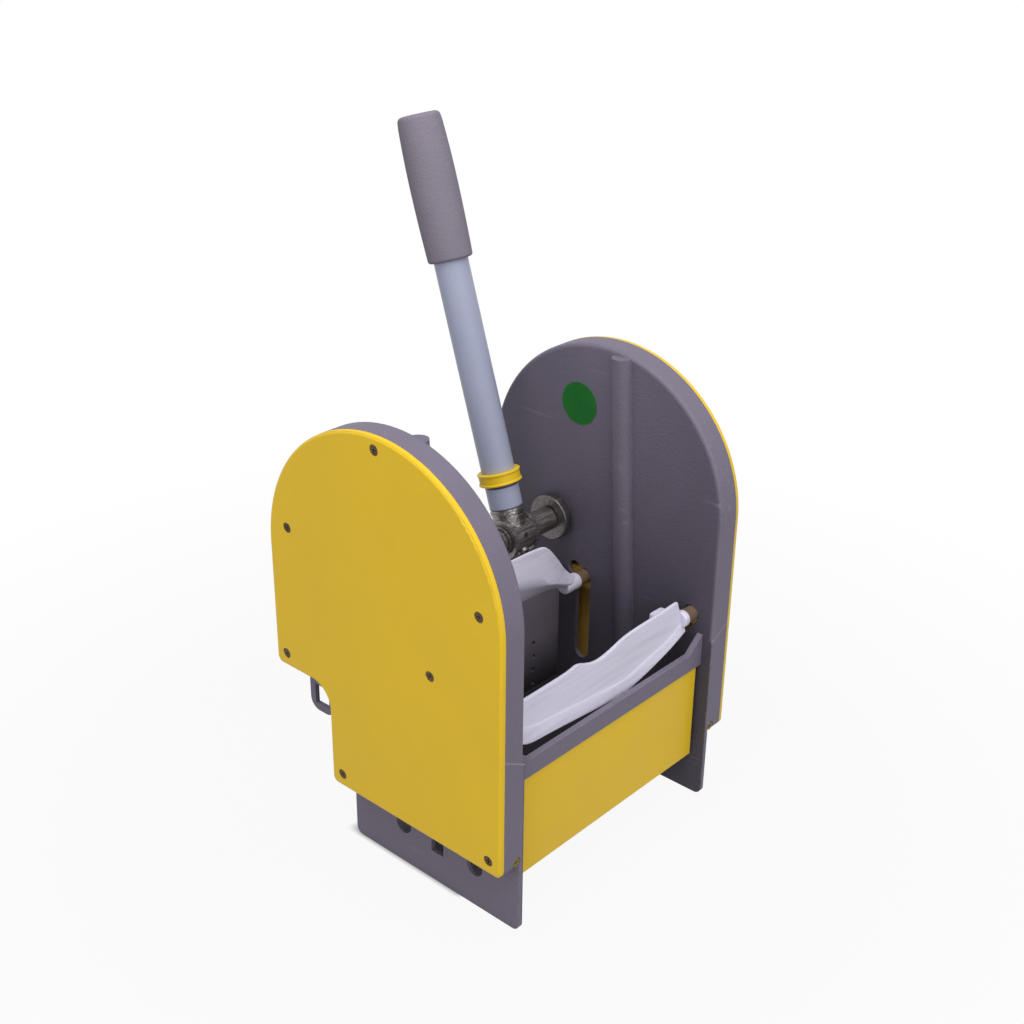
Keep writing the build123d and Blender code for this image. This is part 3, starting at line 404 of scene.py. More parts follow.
def finish(
    slot, base, rough, grain, bump, mottle, wear, worn, scuff, grime_and_shade, metallic=0.0, specular=0.22, adjust=None
):
    """Material of one finish: mottled colour, worn edges, scuffs, grime and painted shade in corners, grain in
    the bump.
    """
    gloss_swing, scuff_rough, grime_and_shade_dark, grain_depth = 0.06, 0.2, 0.35, 0.0006
    material = bpy.data.materials.new(finish_name(slot))
    material.use_nodes = True
    tree = Tree(material.node_tree)
    shader = material.node_tree.nodes["Principled BSDF"]
    grained = group_node(tree, "Moulded Grain", Scale=grain)
    edge = group_node(tree, "Edge Wear", Amount=wear)["Mask"]
    marks = group_node(tree, "Scuff Marks", Amount=scuff)["Mask"]
    darkening = group_node(tree, "Corner Grime And Shade", Amount=grime_and_shade)["Mask"]
    shade = tree.mix(grained["Mottle"], rgba(base, 1.0 - mottle), rgba(base, 1.0 + mottle))
    if adjust:
        shade = adjust(tree, shade)
    shade = tree.mix(edge, shade, (*worn, 1.0))
    shade = tree.mix(marks, shade, (*worn, 1.0))
    # grime and painted shade in corners, darkening the colour
    shade = tree.mix(darkening, shade, rgba(base, grime_and_shade_dark))
    tree.feed(shader.inputs["Base Color"], shade)
    gloss = tree.span(grained["Mottle"], 0.0, 1.0, rough - gloss_swing, rough + gloss_swing)
    gloss = tree.math("ADD", gloss, tree.math("MULTIPLY", marks, scuff_rough), clamp=True)
    tree.feed(shader.inputs["Roughness"], gloss)
    shader.inputs["Metallic"].default_value = metallic
    shader.inputs["Specular IOR Level"].default_value = specular
    relief = tree.add("ShaderNodeBump", {"Height": grained["Height"], "Strength": bump, "Distance": grain_depth})
    tree.feed(shader.inputs["Normal"], relief.outputs["Normal"])


def frame_details(colours):
    """Inner walls with painted shade, darker towards the floor, the front and the rear; pale specks; and the
    seam across each side frame's front.
    """
    skin, skin_fade = 0.0002, 0.0012
    ribs_start, ribs_full, wall_reach, rib_reach = 0.020, 0.024, 0.0004, 0.012
    shade_top, shade_foot, least, most = 0.02, 0.12, 0.12, 0.60
    unshaded_half, front_full, rear_full, side_most = 0.02, 0.02, 0.03, 0.28
    seam_drop, seam_slope, seam_half, seam_fade, front_face = 0.104, 0.55, 0.0003, 0.0007, 0.0006

    def adjust(tree, shade):
        place, across = tree.axes(), tree.across()
        wall = tree.span(across, INNER_WALL + skin_fade, INNER_WALL + skin)
        proud = tree.span(
            place["Y"], FRAME_LOW.y + ribs_start, FRAME_LOW.y + ribs_full,
            INNER_WALL - wall_reach, INNER_WALL - rib_reach,
        )
        wall = tree.math("MULTIPLY", wall, tree.math("GREATER_THAN", across, proud))
        # painted shade on the inner walls: darker low down and towards the front and rear, where the housing
        # shades them
        low = tree.span(place["Z"], ARCH_CENTRE.z + shade_top, ARCH_CENTRE.z - shade_foot, least, most)
        front = tree.span(place["Y"], ARCH_CENTRE.y - unshaded_half, FRAME_LOW.y + front_full, 0.0, side_most)
        rear = tree.span(place["Y"], ARCH_CENTRE.y + unshaded_half, FRAME_HIGH.y - rear_full, 0.0, side_most)
        wall_shade = tree.math("MULTIPLY", wall, tree.math("ADD", low, tree.math("ADD", front, rear)))
        shade = tree.mix(wall_shade, shade, rgba(colours.frame_grey, 0.3))
        specks = group_node(tree, "Pale Specks")["Mask"]
        shade = tree.mix(tree.math("MULTIPLY", specks, wall), shade, SPECK_PALE)
        rise = tree.math("MULTIPLY", tree.math("SUBTRACT", across, INNER_WALL), seam_slope)
        height = tree.math("SUBTRACT", place["Z"], tree.math("ADD", rise, ARCH_CENTRE.z - seam_drop))
        seam = tree.span(tree.math("ABSOLUTE", height), seam_fade, seam_half)
        seam = tree.math("MULTIPLY", seam, tree.math("LESS_THAN", place["Y"], FRAME_LOW.y + front_face))
        return tree.mix(seam, shade, rgba(colours.frame_grey, 1.7))

    return adjust


def yellow_details():
    """Carriers and covers painted brighter inside the housings: a painted glow standing in for light through the
    yellow plastic.
    """
    wall_side, cover_side = INNER_WALL + 0.0005, FRAME_HIGH.x + 0.0002

    def adjust(tree, shade):
        across = tree.across()
        inside = tree.math("GREATER_THAN", across, wall_side)
        inside = tree.math("MULTIPLY", inside, tree.math("LESS_THAN", across, cover_side))
        # painted glow on the yellow inside the housings
        return tree.mix(inside, shade, PAINTED_GLOW_YELLOW)

    return adjust


def jaw_details(colours, sizes):
    """Faint streaks along the white bars, and brown trunnions beyond their bosses."""
    white_end, brown_start = sizes.boss_end - 0.0002, sizes.boss_end + 0.0001

    def adjust(tree, shade):
        streaks = tree.clouds(scale=260.0, low=0.48, high=0.66, most=0.5, stretch=(0.05, 1.0, 1.0))
        shade = tree.mix(streaks, shade, rgba(colours.jaw_white, 0.74))
        return tree.mix(tree.span(tree.across(), white_end, brown_start), shade, rgba(colours.trunnion))

    return adjust


def metal_details(colours):
    """Painted highlights as bright streaks along the shaft line, and painted shade darkening the flanges against
    the walls.
    """
    flange_fade, flange_face, flange_shade_most = BUSH_LOW.x - 0.0006, BUSH_LOW.x - 0.0001, 0.55

    def adjust(tree, shade):
        # painted highlights: bright streaks along the shaft line
        streaks = tree.clouds(
            scale=620.0, low=0.50, high=0.64, most=0.75, detail=3.0, roughness=0.65, stretch=(0.07, 1.0, 1.0)
        )
        shade = tree.mix(streaks, shade, rgba(colours.cast, 2.3))
        # painted shade on the flanges' faces
        flange_shade = tree.span(tree.across(), flange_fade, flange_face, 0.0, flange_shade_most)
        return tree.mix(flange_shade, shade, rgba(colours.cast, 0.3))

    return adjust


def tube_details(colours, sizes):
    """Tube with painted light, paler towards its foot, and painted shadow lines under the yellow band and round
    the foot.
    """
    lit_from, lit_full, darkening = 0.15, 0.06, 0.9
    under_from, under_full = sizes.band_foot - 0.0032, sizes.band_foot - 0.0022
    foot_from, foot_full = sizes.tube_foot + 0.0016, sizes.tube_foot + 0.0010
    band_middle = sizes.band_foot + sizes.band_height / 2

    def adjust(tree, shade):
        place = tree.axes()
        back = tree.math("MULTIPLY", tree.math("SUBTRACT", place["Y"], SHAFT_Y), sin(sizes.lean))
        up = tree.math("MULTIPLY", tree.math("SUBTRACT", place["Z"], SHAFT_Z), cos(sizes.lean))
        along = tree.math("ADD", back, up)
        # painted light: the tube paler towards its foot
        shade = tree.mix(tree.span(along, lit_from, lit_full), shade, rgba(colours.tube_paint, 1.2))
        # painted shadow lines under the band and round the foot
        under = tree.span(along, under_from, under_full, 0.0, darkening)
        under = tree.math("MULTIPLY", under, tree.math("LESS_THAN", along, band_middle))
        foot = tree.span(along, foot_from, foot_full, 0.0, darkening)
        return tree.mix(tree.math("MAXIMUM", under, foot), shade, rgba(colours.tube_paint, 0.06))

    return adjust


def drain_details():
    """Nearly black towards the bottom of the drain floor and the foot of the drain panel, on the inside only."""
    dark_from, dark_full, blackest = ARCH_CENTRE.z - 0.150, ARCH_CENTRE.z - 0.200, 0.93
    back, inside = ARCH_CENTRE.y + 0.0435, ARCH_CENTRE.y + 0.0425

    def adjust(tree, shade):
        place = tree.axes()
        deep = tree.span(place["Z"], dark_from, dark_full, 0.0, blackest)
        inner = tree.span(place["Y"], back, inside)
        return tree.mix(tree.math("MULTIPLY", deep, inner), shade, DEEP_BLACK)

    return adjust


def make_finishes(colours, sizes):
    """All finishes of the wringer, by the name of their record slot."""
    finish("frame_grey", colours.frame_grey, rough=0.55, grain=620.0, bump=0.6, mottle=0.06, wear=0.4,
           worn=(0.36, 0.34, 0.40), scuff=0.3, grime_and_shade=0.4, adjust=frame_details(colours))
    finish("yellow_plastic", colours.yellow, rough=0.40, grain=500.0, bump=0.08, mottle=0.025, wear=0.35,
           worn=(0.90, 0.66, 0.08), scuff=0.12, grime_and_shade=0.35, adjust=yellow_details())
    finish("dark_plastic", colours.rear_grey, rough=0.5, grain=700.0, bump=0.15, mottle=0.10, wear=0.3,
           worn=(0.3, 0.28, 0.32), scuff=0.2, grime_and_shade=0.5, adjust=drain_details())
    finish("jaw_white", colours.jaw_white, rough=0.42, grain=400.0, bump=0.08, mottle=0.04, wear=0.2,
           worn=(0.86, 0.85, 0.93), scuff=0.1, grime_and_shade=0.4, adjust=jaw_details(colours, sizes))
    finish("gear_nylon", colours.nylon, rough=0.45, grain=600.0, bump=0.06, mottle=0.08, wear=0.2,
           worn=rgba(colours.nylon, 1.6)[:3], scuff=0.1, grime_and_shade=0.4)
    finish("green_label", colours.green, rough=0.35, grain=1200.0, bump=0.03, mottle=0.08, wear=0.3,
           worn=(0.10, 0.35, 0.12), scuff=0.08, grime_and_shade=0.0)
    finish("cast_metal", colours.cast, rough=0.36, grain=350.0, bump=0.6, mottle=0.5, wear=0.45,
           worn=(0.50, 0.48, 0.47), scuff=0.8, grime_and_shade=0.7, metallic=0.85, adjust=metal_details(colours))
    finish("shaft_steel", colours.steel, rough=0.3, grain=800.0, bump=0.1, mottle=0.12, wear=0.4,
           worn=(0.7, 0.7, 0.7), scuff=0.4, grime_and_shade=0.4, metallic=1.0)
    finish("screw_steel", colours.screw, rough=0.45, grain=900.0, bump=0.15, mottle=0.3, wear=0.7,
           worn=(0.45, 0.33, 0.18), scuff=0.2, grime_and_shade=0.9, metallic=0.5)
    finish("brass", colours.brass, rough=0.38, grain=900.0, bump=0.1, mottle=0.2, wear=0.6,
           worn=(0.65, 0.52, 0.22), scuff=0.3, grime_and_shade=0.8, metallic=0.9)
    finish("tube_paint", colours.tube_paint, rough=0.36, grain=260.0, bump=0.03, mottle=0.04, wear=0.15,
           worn=(0.5, 0.53, 0.62), scuff=0.08, grime_and_shade=0.2, adjust=tube_details(colours, sizes))
    finish("grip_rubber", colours.grip_rubber, rough=0.85, grain=620.0, bump=0.6, mottle=0.07, wear=0.3,
           worn=(0.36, 0.33, 0.38), scuff=0.05, grime_and_shade=0.2, specular=0.2)


def add_piece(name, bm, body, slot, nodes, smooth=40.0):
    """Turns a bmesh into a piece that rides on a body and stands for CAD nodes."""
    mesh = bpy.data.meshes.new(name)
    bm.to_mesh(mesh)
    bm.free()
    mesh.shade_smooth()
    mesh.set_sharp_from_angle(angle=radians(smooth))
    piece = bpy.data.objects.new(name, mesh)
    bpy.context.scene.collection.objects.link(piece)
    mesh.materials.append(bpy.data.materials[finish_name(slot)])
    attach(piece, body)
    if nodes:
        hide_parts(*nodes)
    return piece


def node_copy(node):
    """Merged copy of a CAD node's mesh."""
    bm = bmesh.new()
    bm.from_mesh(frame["nodes"][node].data)
    bmesh.ops.remove_doubles(bm, verts=bm.verts, dist=SAME_POINT)
    return bm


def only_edges(items):
    """Edges among the things that an operator gives back."""
    return [item for item in items if isinstance(item, bmesh.types.BMEdge)]


def cut_across(bm, x, direction, clear_inner=False):
    """Cuts a mesh at x, clears what lies beyond it in a direction, and returns the edges of the cut."""
    geometry = bm.verts[:] + bm.edges[:] + bm.faces[:]
    cut = bmesh.ops.bisect_plane(
        bm, geom=geometry, plane_co=(x, 0.0, 0.0), plane_no=(direction, 0.0, 0.0), clear_inner=clear_inner,
        clear_outer=True,
    )
    return only_edges(cut["geom_cut"])


def round_edges(bm, edges, width, segments):
    """Rounds edges by a width."""
    bmesh.ops.bevel(
        bm, geom=edges, offset=width, offset_type="OFFSET", affect="EDGES", segments=segments, profile=0.5,
        clamp_overlap=True, material=-1,
    )


def grow(bm, edges):
    """Extrudes edges in place; returns the new vertices and the edges between them."""
    grown = bmesh.ops.extrude_edge_only(bm, edges=edges)["geom"]
    verts = [item for item in grown if isinstance(item, bmesh.types.BMVert)]
    return verts, [edge for edge in only_edges(grown) if all(vert in verts for vert in edge.verts)]


def softened(name, node, body, slot, width, sharp=28.0, segments=2, reach=None):
    """Piece like a CAD node, with edges rounded as a mould leaves them, and its ends cut off at reach."""
    flat = 0.4
    bm = node_copy(node)
    for side in (1, -1) if reach else ():
        bmesh.ops.holes_fill(bm, edges=cut_across(bm, side * reach, side))
    bmesh.ops.dissolve_limit(bm, angle_limit=radians(flat), verts=bm.verts, edges=bm.edges)
    edges = [edge for edge in bm.edges if edge.is_manifold and edge.calc_face_angle() > radians(sharp)]
    round_edges(bm, edges, width, segments)
    piece = add_piece(name, bm, body, slot, [node])
    level = piece.modifiers.new("Flat faces", "WEIGHTED_NORMAL")
    level.keep_sharp = True


def turned(profile, place, steps=72):
    """Profile of (along, radius) pairs turned round the Z axis of place."""
    bm = bmesh.new()
    verts = [bm.verts.new((radius, 0.0, along)) for along, radius in profile]
    edges = [bm.edges.new(pair) for pair in zip(verts, verts[1:])]
    bmesh.ops.spin(
        bm, geom=verts + edges, cent=(0, 0, 0), axis=(0, 0, 1), angle=2 * pi, steps=steps, use_merge=True
    )
    bmesh.ops.remove_doubles(bm, verts=bm.verts, dist=SAME_POINT / 2)
    bmesh.ops.recalc_face_normals(bm, faces=bm.faces)
    bmesh.ops.transform(bm, matrix=place, verts=bm.verts)
    return bm


def quarter(along, radius, size, first, steps=6):
    """Quarter round of (along, radius) points about a centre, from an angle in degrees."""
    points = []
    for step in range(steps + 1):
        turn = radians(first + 90.0 * step / steps)
        points.append((along + size * sin(turn), radius + size * cos(turn)))
    return points


def handle_place(sizes):
    """Frame whose Z axis runs up the handle from the shaft."""
    return Matrix.Translation((HUB_X, SHAFT_Y, SHAFT_Z)) @ Matrix.Rotation(-sizes.lean, 4, "X")


def sideways(side):
    """Turn that points the Z axis to one side."""
    return Matrix.Rotation(radians(90.0 * side), 4, "Y")


def shaft_place(x, side):
    """Frame whose Z axis runs along the shaft to one side, starting at x."""
    return Matrix.Translation((x, SHAFT_Y, SHAFT_Z)) @ sideways(side)


class WRINGER_OT_finishes(bpy.types.Operator):
    """Make the finishes and put them on the CAD nodes"""

    bl_idname = "wringer.finishes"
    bl_label = "Finishes"

    def execute(self, context):
        for make_group in (grain_group, wear_group, scuff_group, grime_and_shade_group, speck_group):
            make_group()
        make_finishes(context.scene.wringer_colours, context.scene.wringer_sizes)
        for part in frame["record"]["subparts"]:
            for slot in frame["nodes"][part["node"]].material_slots:
                slot.material = bpy.data.materials[finish_name(part["material_slot"])]
        return {"FINISHED"}


def longest_loop(bm):
    """Edges of the longest of the loops that a cut leaves."""
    loops = []
    left = set(bm.edges)
    while left:
        loop, ends = [], [left.pop()]
        while ends:
            edge = ends.pop()
            loop.append(edge)
            near = {other for vert in edge.verts for other in vert.link_edges} & left
            left -= near
            ends += near
        loops.append(loop)
    return max(loops, key=lambda loop: sum(edge.calc_length() for edge in loop))


def cover_rim(node, sizes):
    """Square rim along a cover's edge, drawn from a cut through the cover just outside the side frame."""
    stand_out, draw_in = 1.001, 0.96
    low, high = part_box(node)
    side = 1 if low.x > 0 else -1
    foot = side * (max(abs(low.x), abs(high.x)) - sizes.cover_foot)
    rise = Vector((side * sizes.cover_rim, 0.0, 0.0))
    middle = Matrix.Translation((0.0, -(low.y + high.y) / 2, -(low.z + high.z) / 2))
    bm = node_copy(node)
    cut_across(bm, foot, 1.0, clear_inner=True)
    outline = longest_loop(bm)
    spare = [edge for edge in bm.edges if edge not in set(outline)]
    bmesh.ops.delete(bm, geom=spare, context="EDGES")
    bmesh.ops.scale(bm, vec=(1.0, stand_out, stand_out), space=middle, verts=bm.verts)
    outer, outer_edges = grow(bm, outline)
    bmesh.ops.translate(bm, vec=rise, verts=outer)
    inner, inner_edges = grow(bm, outer_edges)
    bmesh.ops.scale(bm, vec=(1.0, draw_in, draw_in), space=middle, verts=inner)
    buried, buried_edges = grow(bm, inner_edges)
    bmesh.ops.translate(bm, vec=-rise, verts=buried)
    bmesh.ops.bridge_loops(bm, edges=outline + buried_edges)
    bmesh.ops.recalc_face_normals(bm, faces=bm.faces)
    round_edges(bm, outer_edges, sizes.cover_edge, 3)
    return bm


class WRINGER_OT_housings(bpy.types.Operator):
    """Round the moulded edges of the side frames, covers, rail and panels, and rim the covers"""

    bl_idname = "wringer.housings"
    bl_label = "Housings"

    def execute(self, context):
        sizes = context.scene.wringer_sizes
        for _, side in SIDES:
            cover = f"cover_{side}"
            softened(f"moulded_frame_{side}", f"side_frame_{side}", "frame", "frame_grey", sizes.frame_edge)
            softened(
                f"moulded_{cover}", cover, "frame", "yellow_plastic", sizes.cover_edge, sharp=40.0, segments=3
            )
            add_piece(f"cover_rim_{side}", cover_rim(cover, sizes), "frame", "yellow_plastic", [])
        softened("moulded_rail", "front_rail", "frame", "frame_grey", sizes.panel_edge)
        reach = INNER_WALL - sizes.panel_gap
        softened("moulded_front_panel", "front_panel", "frame", "yellow_plastic", sizes.panel_edge, reach=reach)
        softened("moulded_rear_panel", "rear_panel", "frame", "dark_plastic", sizes.panel_edge / 2)
        return {"FINISHED"}


class WRINGER_OT_screws(bpy.types.Operator):
    """Round the heads of the screws"""

    bl_idname = "wringer.screws"
    bl_label = "Screws"

    def execute(self, context):
        sizes = context.scene.wringer_sizes
        softened("sunk_screws", "cover_screws", "frame", "screw_steel", sizes.screw_edge, sharp=40.0)
        softened("brass_screws", "front_screws", "frame", "brass", sizes.screw_edge, sharp=40.0)
        return {"FINISHED"}


def mirrored(row):
    """Row of points with its right half repeated on the left."""
    return [(-x, y, z) for x, y, z in reversed(row) if x > 0] + list(row)


def jaw_bar(jaw, rows, sizes):
    """Bent sheet through rows of points, thickened behind and softened at its edges."""
    bm = bmesh.new()
    fold = bm.edges.layers.float.new("crease_edge")
    verts = [bm.verts.new(at(*point)) for point in rows[0]]
    edges = [bm.edges.new(pair) for pair in zip(verts, verts[1:])]
    for row in rows[1:]:
        lower, edges = grow(bm, edges)
        lower.sort(key=lambda vert: vert.co.x)
        for vert, point in zip(lower, row):
            vert.co = at(*point)
        for edge in edges:
            edge[fold] = sizes.jaw_fold
    bmesh.ops.recalc_face_normals(bm, faces=bm.faces)
    bm.faces.ensure_lookup_table()
    if bm.faces[0].normal.y > 0:
        bmesh.ops.reverse_faces(bm, faces=bm.faces)
    piece = add_piece(f"{jaw}_sheet", bm, jaw, "jaw_white", [f"{jaw}_bar"], smooth=80.0)
    wall = piece.modifiers.new("Thickness", "SOLIDIFY")
    wall.thickness = sizes.jaw_thick
    wall.offset = -1.0
    edge = piece.modifiers.new("Edges", "BEVEL")
    edge.width = sizes.jaw_edge
    edge.segments = 2
    edge.limit_method = "ANGLE"
    edge.angle_limit = radians(50.0)
    curve = piece.modifiers.new("Curve", "SUBSURF")
    curve.levels = curve.render_levels = 2


def jaw_lug():
    """Small rounded lug behind the front bar's right end."""
    middle, size, soft = at(78, -91.5, -78), (0.016, 0.009, 0.016), 0.0025
    bm = bmesh.new()
    bmesh.ops.create_cube(bm, size=1.0, matrix=Matrix.Translation(middle) @ Matrix.Diagonal((*size, 1.0)))
    round_edges(bm, bm.edges[:], soft, 3)
    return bm


def jaw_end_profile(sizes, shoulder, reach):
    """White boss with a soft shoulder, and the trunnion that runs on into the housing."""
    boss, trunnion, soft = sizes.boss_radius, sizes.trunnion_radius, 0.0015
    profile = [(0.0, 0.0), (0.0, boss - soft)] + quarter(soft, boss - soft, soft, -90.0)
    profile += quarter(shoulder - soft, boss - soft, soft, 0.0)
    return profile + [(shoulder, trunnion), (reach, trunnion), (reach, 0.0)]


class WRINGER_OT_jaws(bpy.types.Operator):
    """Draw the two bent white jaw bars and turn their bosses and trunnions"""

    bl_idname = "wringer.jaws"
    bl_label = "Jaws"

    def execute(self, context):
        sizes = context.scene.wringer_sizes
        jaw_bar("front_jaw", [[(x, y, z) for x, z in points] for y, points in FRONT_JAW_ROWS], sizes)
        jaw_bar("rear_jaw", [mirrored(row) for row in REAR_JAW_ROWS], sizes)
        add_piece("front_jaw_lug", jaw_lug(), "front_jaw", "jaw_white", [])
        for jaw, (pivot, start) in JAW_ENDS.items():
            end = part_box(f"{jaw}_bar")[1].x
            profile = jaw_end_profile(sizes, sizes.boss_end - start, end - start)
            for side, label in SIDES:
                place = Matrix.Translation(at(side * start * MILLIMETRES, *pivot)) @ sideways(side)
                add_piece(f"{jaw}_end_{label}", turned(profile, place), jaw, "jaw_white", [], smooth=30.0)
        return {"FINISHED"}


def grip_profile(sizes):
    """Barrel of the foam grip, with a bore for the tube, rounded ends and a shallow dish in its cap."""
    snug, bore_depth, foot_round, steps = 0.0001, 0.02, 0.6, 24
    dish_rim, dish_radius, dish_depth = 0.0004, 0.010, 0.0008
    foot, top, soft = sizes.grip_foot, sizes.grip_top, sizes.grip_round
    middle, half = (foot + top) / 2, (top - foot) / 2
    low, bore = foot_round * soft, sizes.tube_radius - snug

    def barrel(along):
        ends = sizes.grip_foot_radius if along < middle else sizes.grip_end_radius
        return sizes.grip_waist_radius - (sizes.grip_waist_radius - ends) * ((along - middle) / half) ** 2

    profile = [(foot + bore_depth, 0.0), (foot + bore_depth, bore), (foot, bore)]
    profile += quarter(foot + low, barrel(foot + low) - low, low, -90.0)
    for step in range(1, steps):
        along = foot + low + (top - soft - foot - low) * step / steps
        profile.append((along, barrel(along)))
    profile += quarter(top - soft, barrel(top) - soft, soft, 0.0)
    return profile + [(top - dish_rim, dish_radius), (top - dish_depth, 0.0)]


def band_profile(sizes):
    """Yellow collar with a lip at each edge."""
    foot, wide, radius = sizes.band_foot, sizes.band_height, sizes.band_radius
    lip, dip, soft, snug = 0.0016, 0.0007, 0.0005, 0.0002
    rise = [
        (0.0, sizes.tube_radius - snug),
        (0.0, radius - dip),
        (soft, radius),
        (lip, radius),
        (lip + dip, radius - dip),
    ]
    fall = [(wide - along, reach) for along, reach in reversed(rise)]
    return [(foot + along, reach) for along, reach in rise + fall + rise[:1]]


def tube_profile(sizes):
    """Wall of the painted tube, from its foot over the hub's neck to inside the grip."""
    in_grip, wall, chamfer, chamfer_height = 0.02, 0.0004, 0.0003, 0.0005
    foot, top, radius = sizes.tube_foot, sizes.grip_foot + in_grip, sizes.tube_radius
    inside = radius - wall
    return [
        (foot, inside),
        (foot, radius - chamfer),
        (foot + chamfer_height, radius),
        (top, radius),
        (top, inside),
        (foot, inside),
    ]


def tube_lip_profile(sizes):
    """Turned lip on the hub's neck, just below the tube's foot."""
    gap, height, soft, proud, edge_in, core_in = 0.0016, 0.0030, 0.0006, 0.0004, 0.0005, 0.0015
    top, radius = sizes.tube_foot - gap, sizes.tube_radius
    crest, edge, core = radius + proud, radius - edge_in, radius - core_in
    return [
        (top - height, core),
        (top - height, edge),
        (top - height + soft, crest),
        (top - soft, crest),
        (top, edge),
        (top, core),
        (top - height, core),
    ]


class WRINGER_OT_handle(bpy.types.Operator):
    """Turn the foam grip, the yellow band, the painted tube and the lip under it"""

    bl_idname = "wringer.handle"
    bl_label = "Handle"

    def execute(self, context):
        sizes = context.scene.wringer_sizes
        place = handle_place(sizes)
        grip = turned(grip_profile(sizes), place, steps=96)
        band = turned(band_profile(sizes), place, steps=96)
        tube = turned(tube_profile(sizes), place, steps=96)
        lip = turned(tube_lip_profile(sizes), place)
        add_piece("foam_grip", grip, "lever", "grip_rubber", ["handle_grip"], smooth=50.0)
        add_piece("lipped_band", band, "lever", "yellow_plastic", ["handle_band"])
        add_piece("painted_tube", tube, "lever", "tube_paint", ["handle_tube"])
        add_piece("tube_lip", lip, "lever", "cast_metal", [])
        return {"FINISHED"}


def sleeve_profile(reach, radius):
    """Spacer sleeve with two collars at its hub end."""
    collar_face, collar, ridge, soft = radius + 0.0018, radius + 0.0024, radius + 0.0013, 0.0005
    return [
        (0.0, SHAFT_BORE),
        (0.0, collar_face),
        (0.0006, collar),
        (0.0026, collar),
        (0.0032, radius),
        (0.0046, radius),
        (0.0052, ridge),
        (0.0068, ridge),
        (0.0074, radius),
        (reach - soft, radius),
        (reach, radius - soft),
        (reach, SHAFT_BORE),
        (0.0, SHAFT_BORE),
    ]


def bush_profile(sizes):
    """Flanged bush: a thick round flange, a step and the bush in the wall."""
    radius = (BUSH_HIGH.z - BUSH_LOW.z) / 2
    thick, wall, reach = sizes.flange_thick, INNER_WALL - BUSH_LOW.x, BUSH_HIGH.x - BUSH_LOW.x
    soft = 0.0012
    profile = [(0.0, SHAFT_BORE)]
    profile += quarter(soft, radius - soft, soft, -90.0)
    profile += quarter(thick - soft, radius - soft, soft, 0.0)
    profile += [(thick, sizes.flange_step), (wall, sizes.flange_step), (wall, sizes.bush_radius)]
    return profile + [(reach, sizes.bush_radius), (reach, SHAFT_BORE), (0.0, SHAFT_BORE)]


def clamp_bolt(sizes):
    """Socket-headed bolt low on the front of the hub."""
    foot, top, soft, socket_floor, tilt = 0.0140, 0.0180, 0.0008, 0.0155, 130.0
    radius, mouth, well = sizes.bolt_radius, 0.58, 0.55
    place = Matrix.Translation((HUB_X, SHAFT_Y, SHAFT_Z)) @ Matrix.Rotation(radians(tilt), 4, "X")
    head = [
        (foot, 0.0),
        (foot, radius),
        (top - soft, radius),
        (top, radius - soft),
        (top, radius * mouth),
        (socket_floor, radius * well),
        (socket_floor, 0.0),
    ]
    return turned(head, place, steps=36)


class WRINGER_OT_hub(bpy.types.Operator):
    """Round the cast hub, add its clamp bolt and turn the sleeves and bushes"""

    bl_idname = "wringer.hub"
    bl_label = "Hub"

    def execute(self, context):
        sizes = context.scene.wringer_sizes
        softened("cast_hub", "handle_hub", "lever", "cast_metal", sizes.hub_edge, segments=3)
        add_piece("clamp_bolt", clamp_bolt(sizes), "lever", "cast_metal", [], smooth=30.0)
        for side, label in SIDES:
            node = f"sleeve_{label}"
            low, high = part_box(node)
            profile = sleeve_profile(high.x - low.x, (high.z - low.z) / 2)
            bm = turned(profile, shaft_place(low.x if side > 0 else high.x, side))
            add_piece(f"turned_{node}", bm, "lever", "cast_metal", [node], smooth=30.0)
        for side, label in SIDES:
            node = f"shaft_bush_{label}"
            bm = turned(bush_profile(sizes), shaft_place(side * BUSH_LOW.x, side))
            add_piece(f"turned_{node}", bm, "frame", "cast_metal", [node], smooth=30.0)
        return {"FINISHED"}


def shown_rays(tree):
    """1 for rays that show the background: from the camera, off metal or through glass."""
    path = tree.add("ShaderNodeLightPath").outputs
    seen = tree.math("MAXIMUM", path["Is Camera Ray"], path["Is Glossy Ray"])
    return tree.math("MAXIMUM", seen, path["Is Transmission Ray"])


def floor_material(stage):
    """White to the eye, with the object's soft shadow kept near it and in full beneath it."""
    near, far, near_share = 0.30, 0.75, 0.93
    side, side_fade, front, front_fade, rear, rear_fade = 0.116, 0.122, -0.080, -0.086, 0.030, 0.045
    material = bpy.data.materials.new("pale_floor")
    material.use_nodes = True
    tree = Tree(material.node_tree)
    material.node_tree.nodes.remove(material.node_tree.nodes["Principled BSDF"])
    output = material.node_tree.nodes["Material Output"]
    matte = tree.add("ShaderNodeBsdfDiffuse", {"Color": (*stage.floor, 1.0)})
    white = tree.add("ShaderNodeEmission", {"Color": WHITE, "Strength": 1.0})
    coords = tree.add("ShaderNodeTexCoord")
    reach = tree.add("ShaderNodeVectorMath", {0: coords.outputs["Object"]}, operation="LENGTH")
    share = tree.span(reach.outputs["Value"], near, far, near_share, 1.0)
    place = tree.axes()
    beneath = tree.product(
        tree.span(tree.across(), side_fade, side),
        tree.span(place["Y"], front_fade, front),
        tree.span(place["Y"], rear_fade, rear),
    )
    share = tree.product(share, tree.math("SUBTRACT", 1.0, beneath), shown_rays(tree))
    blend = tree.add("ShaderNodeMixShader", {0: share, 1: matte.outputs[0], 2: white.outputs[0]})
    tree.feed(output.inputs["Surface"], blend.outputs[0])
    return material


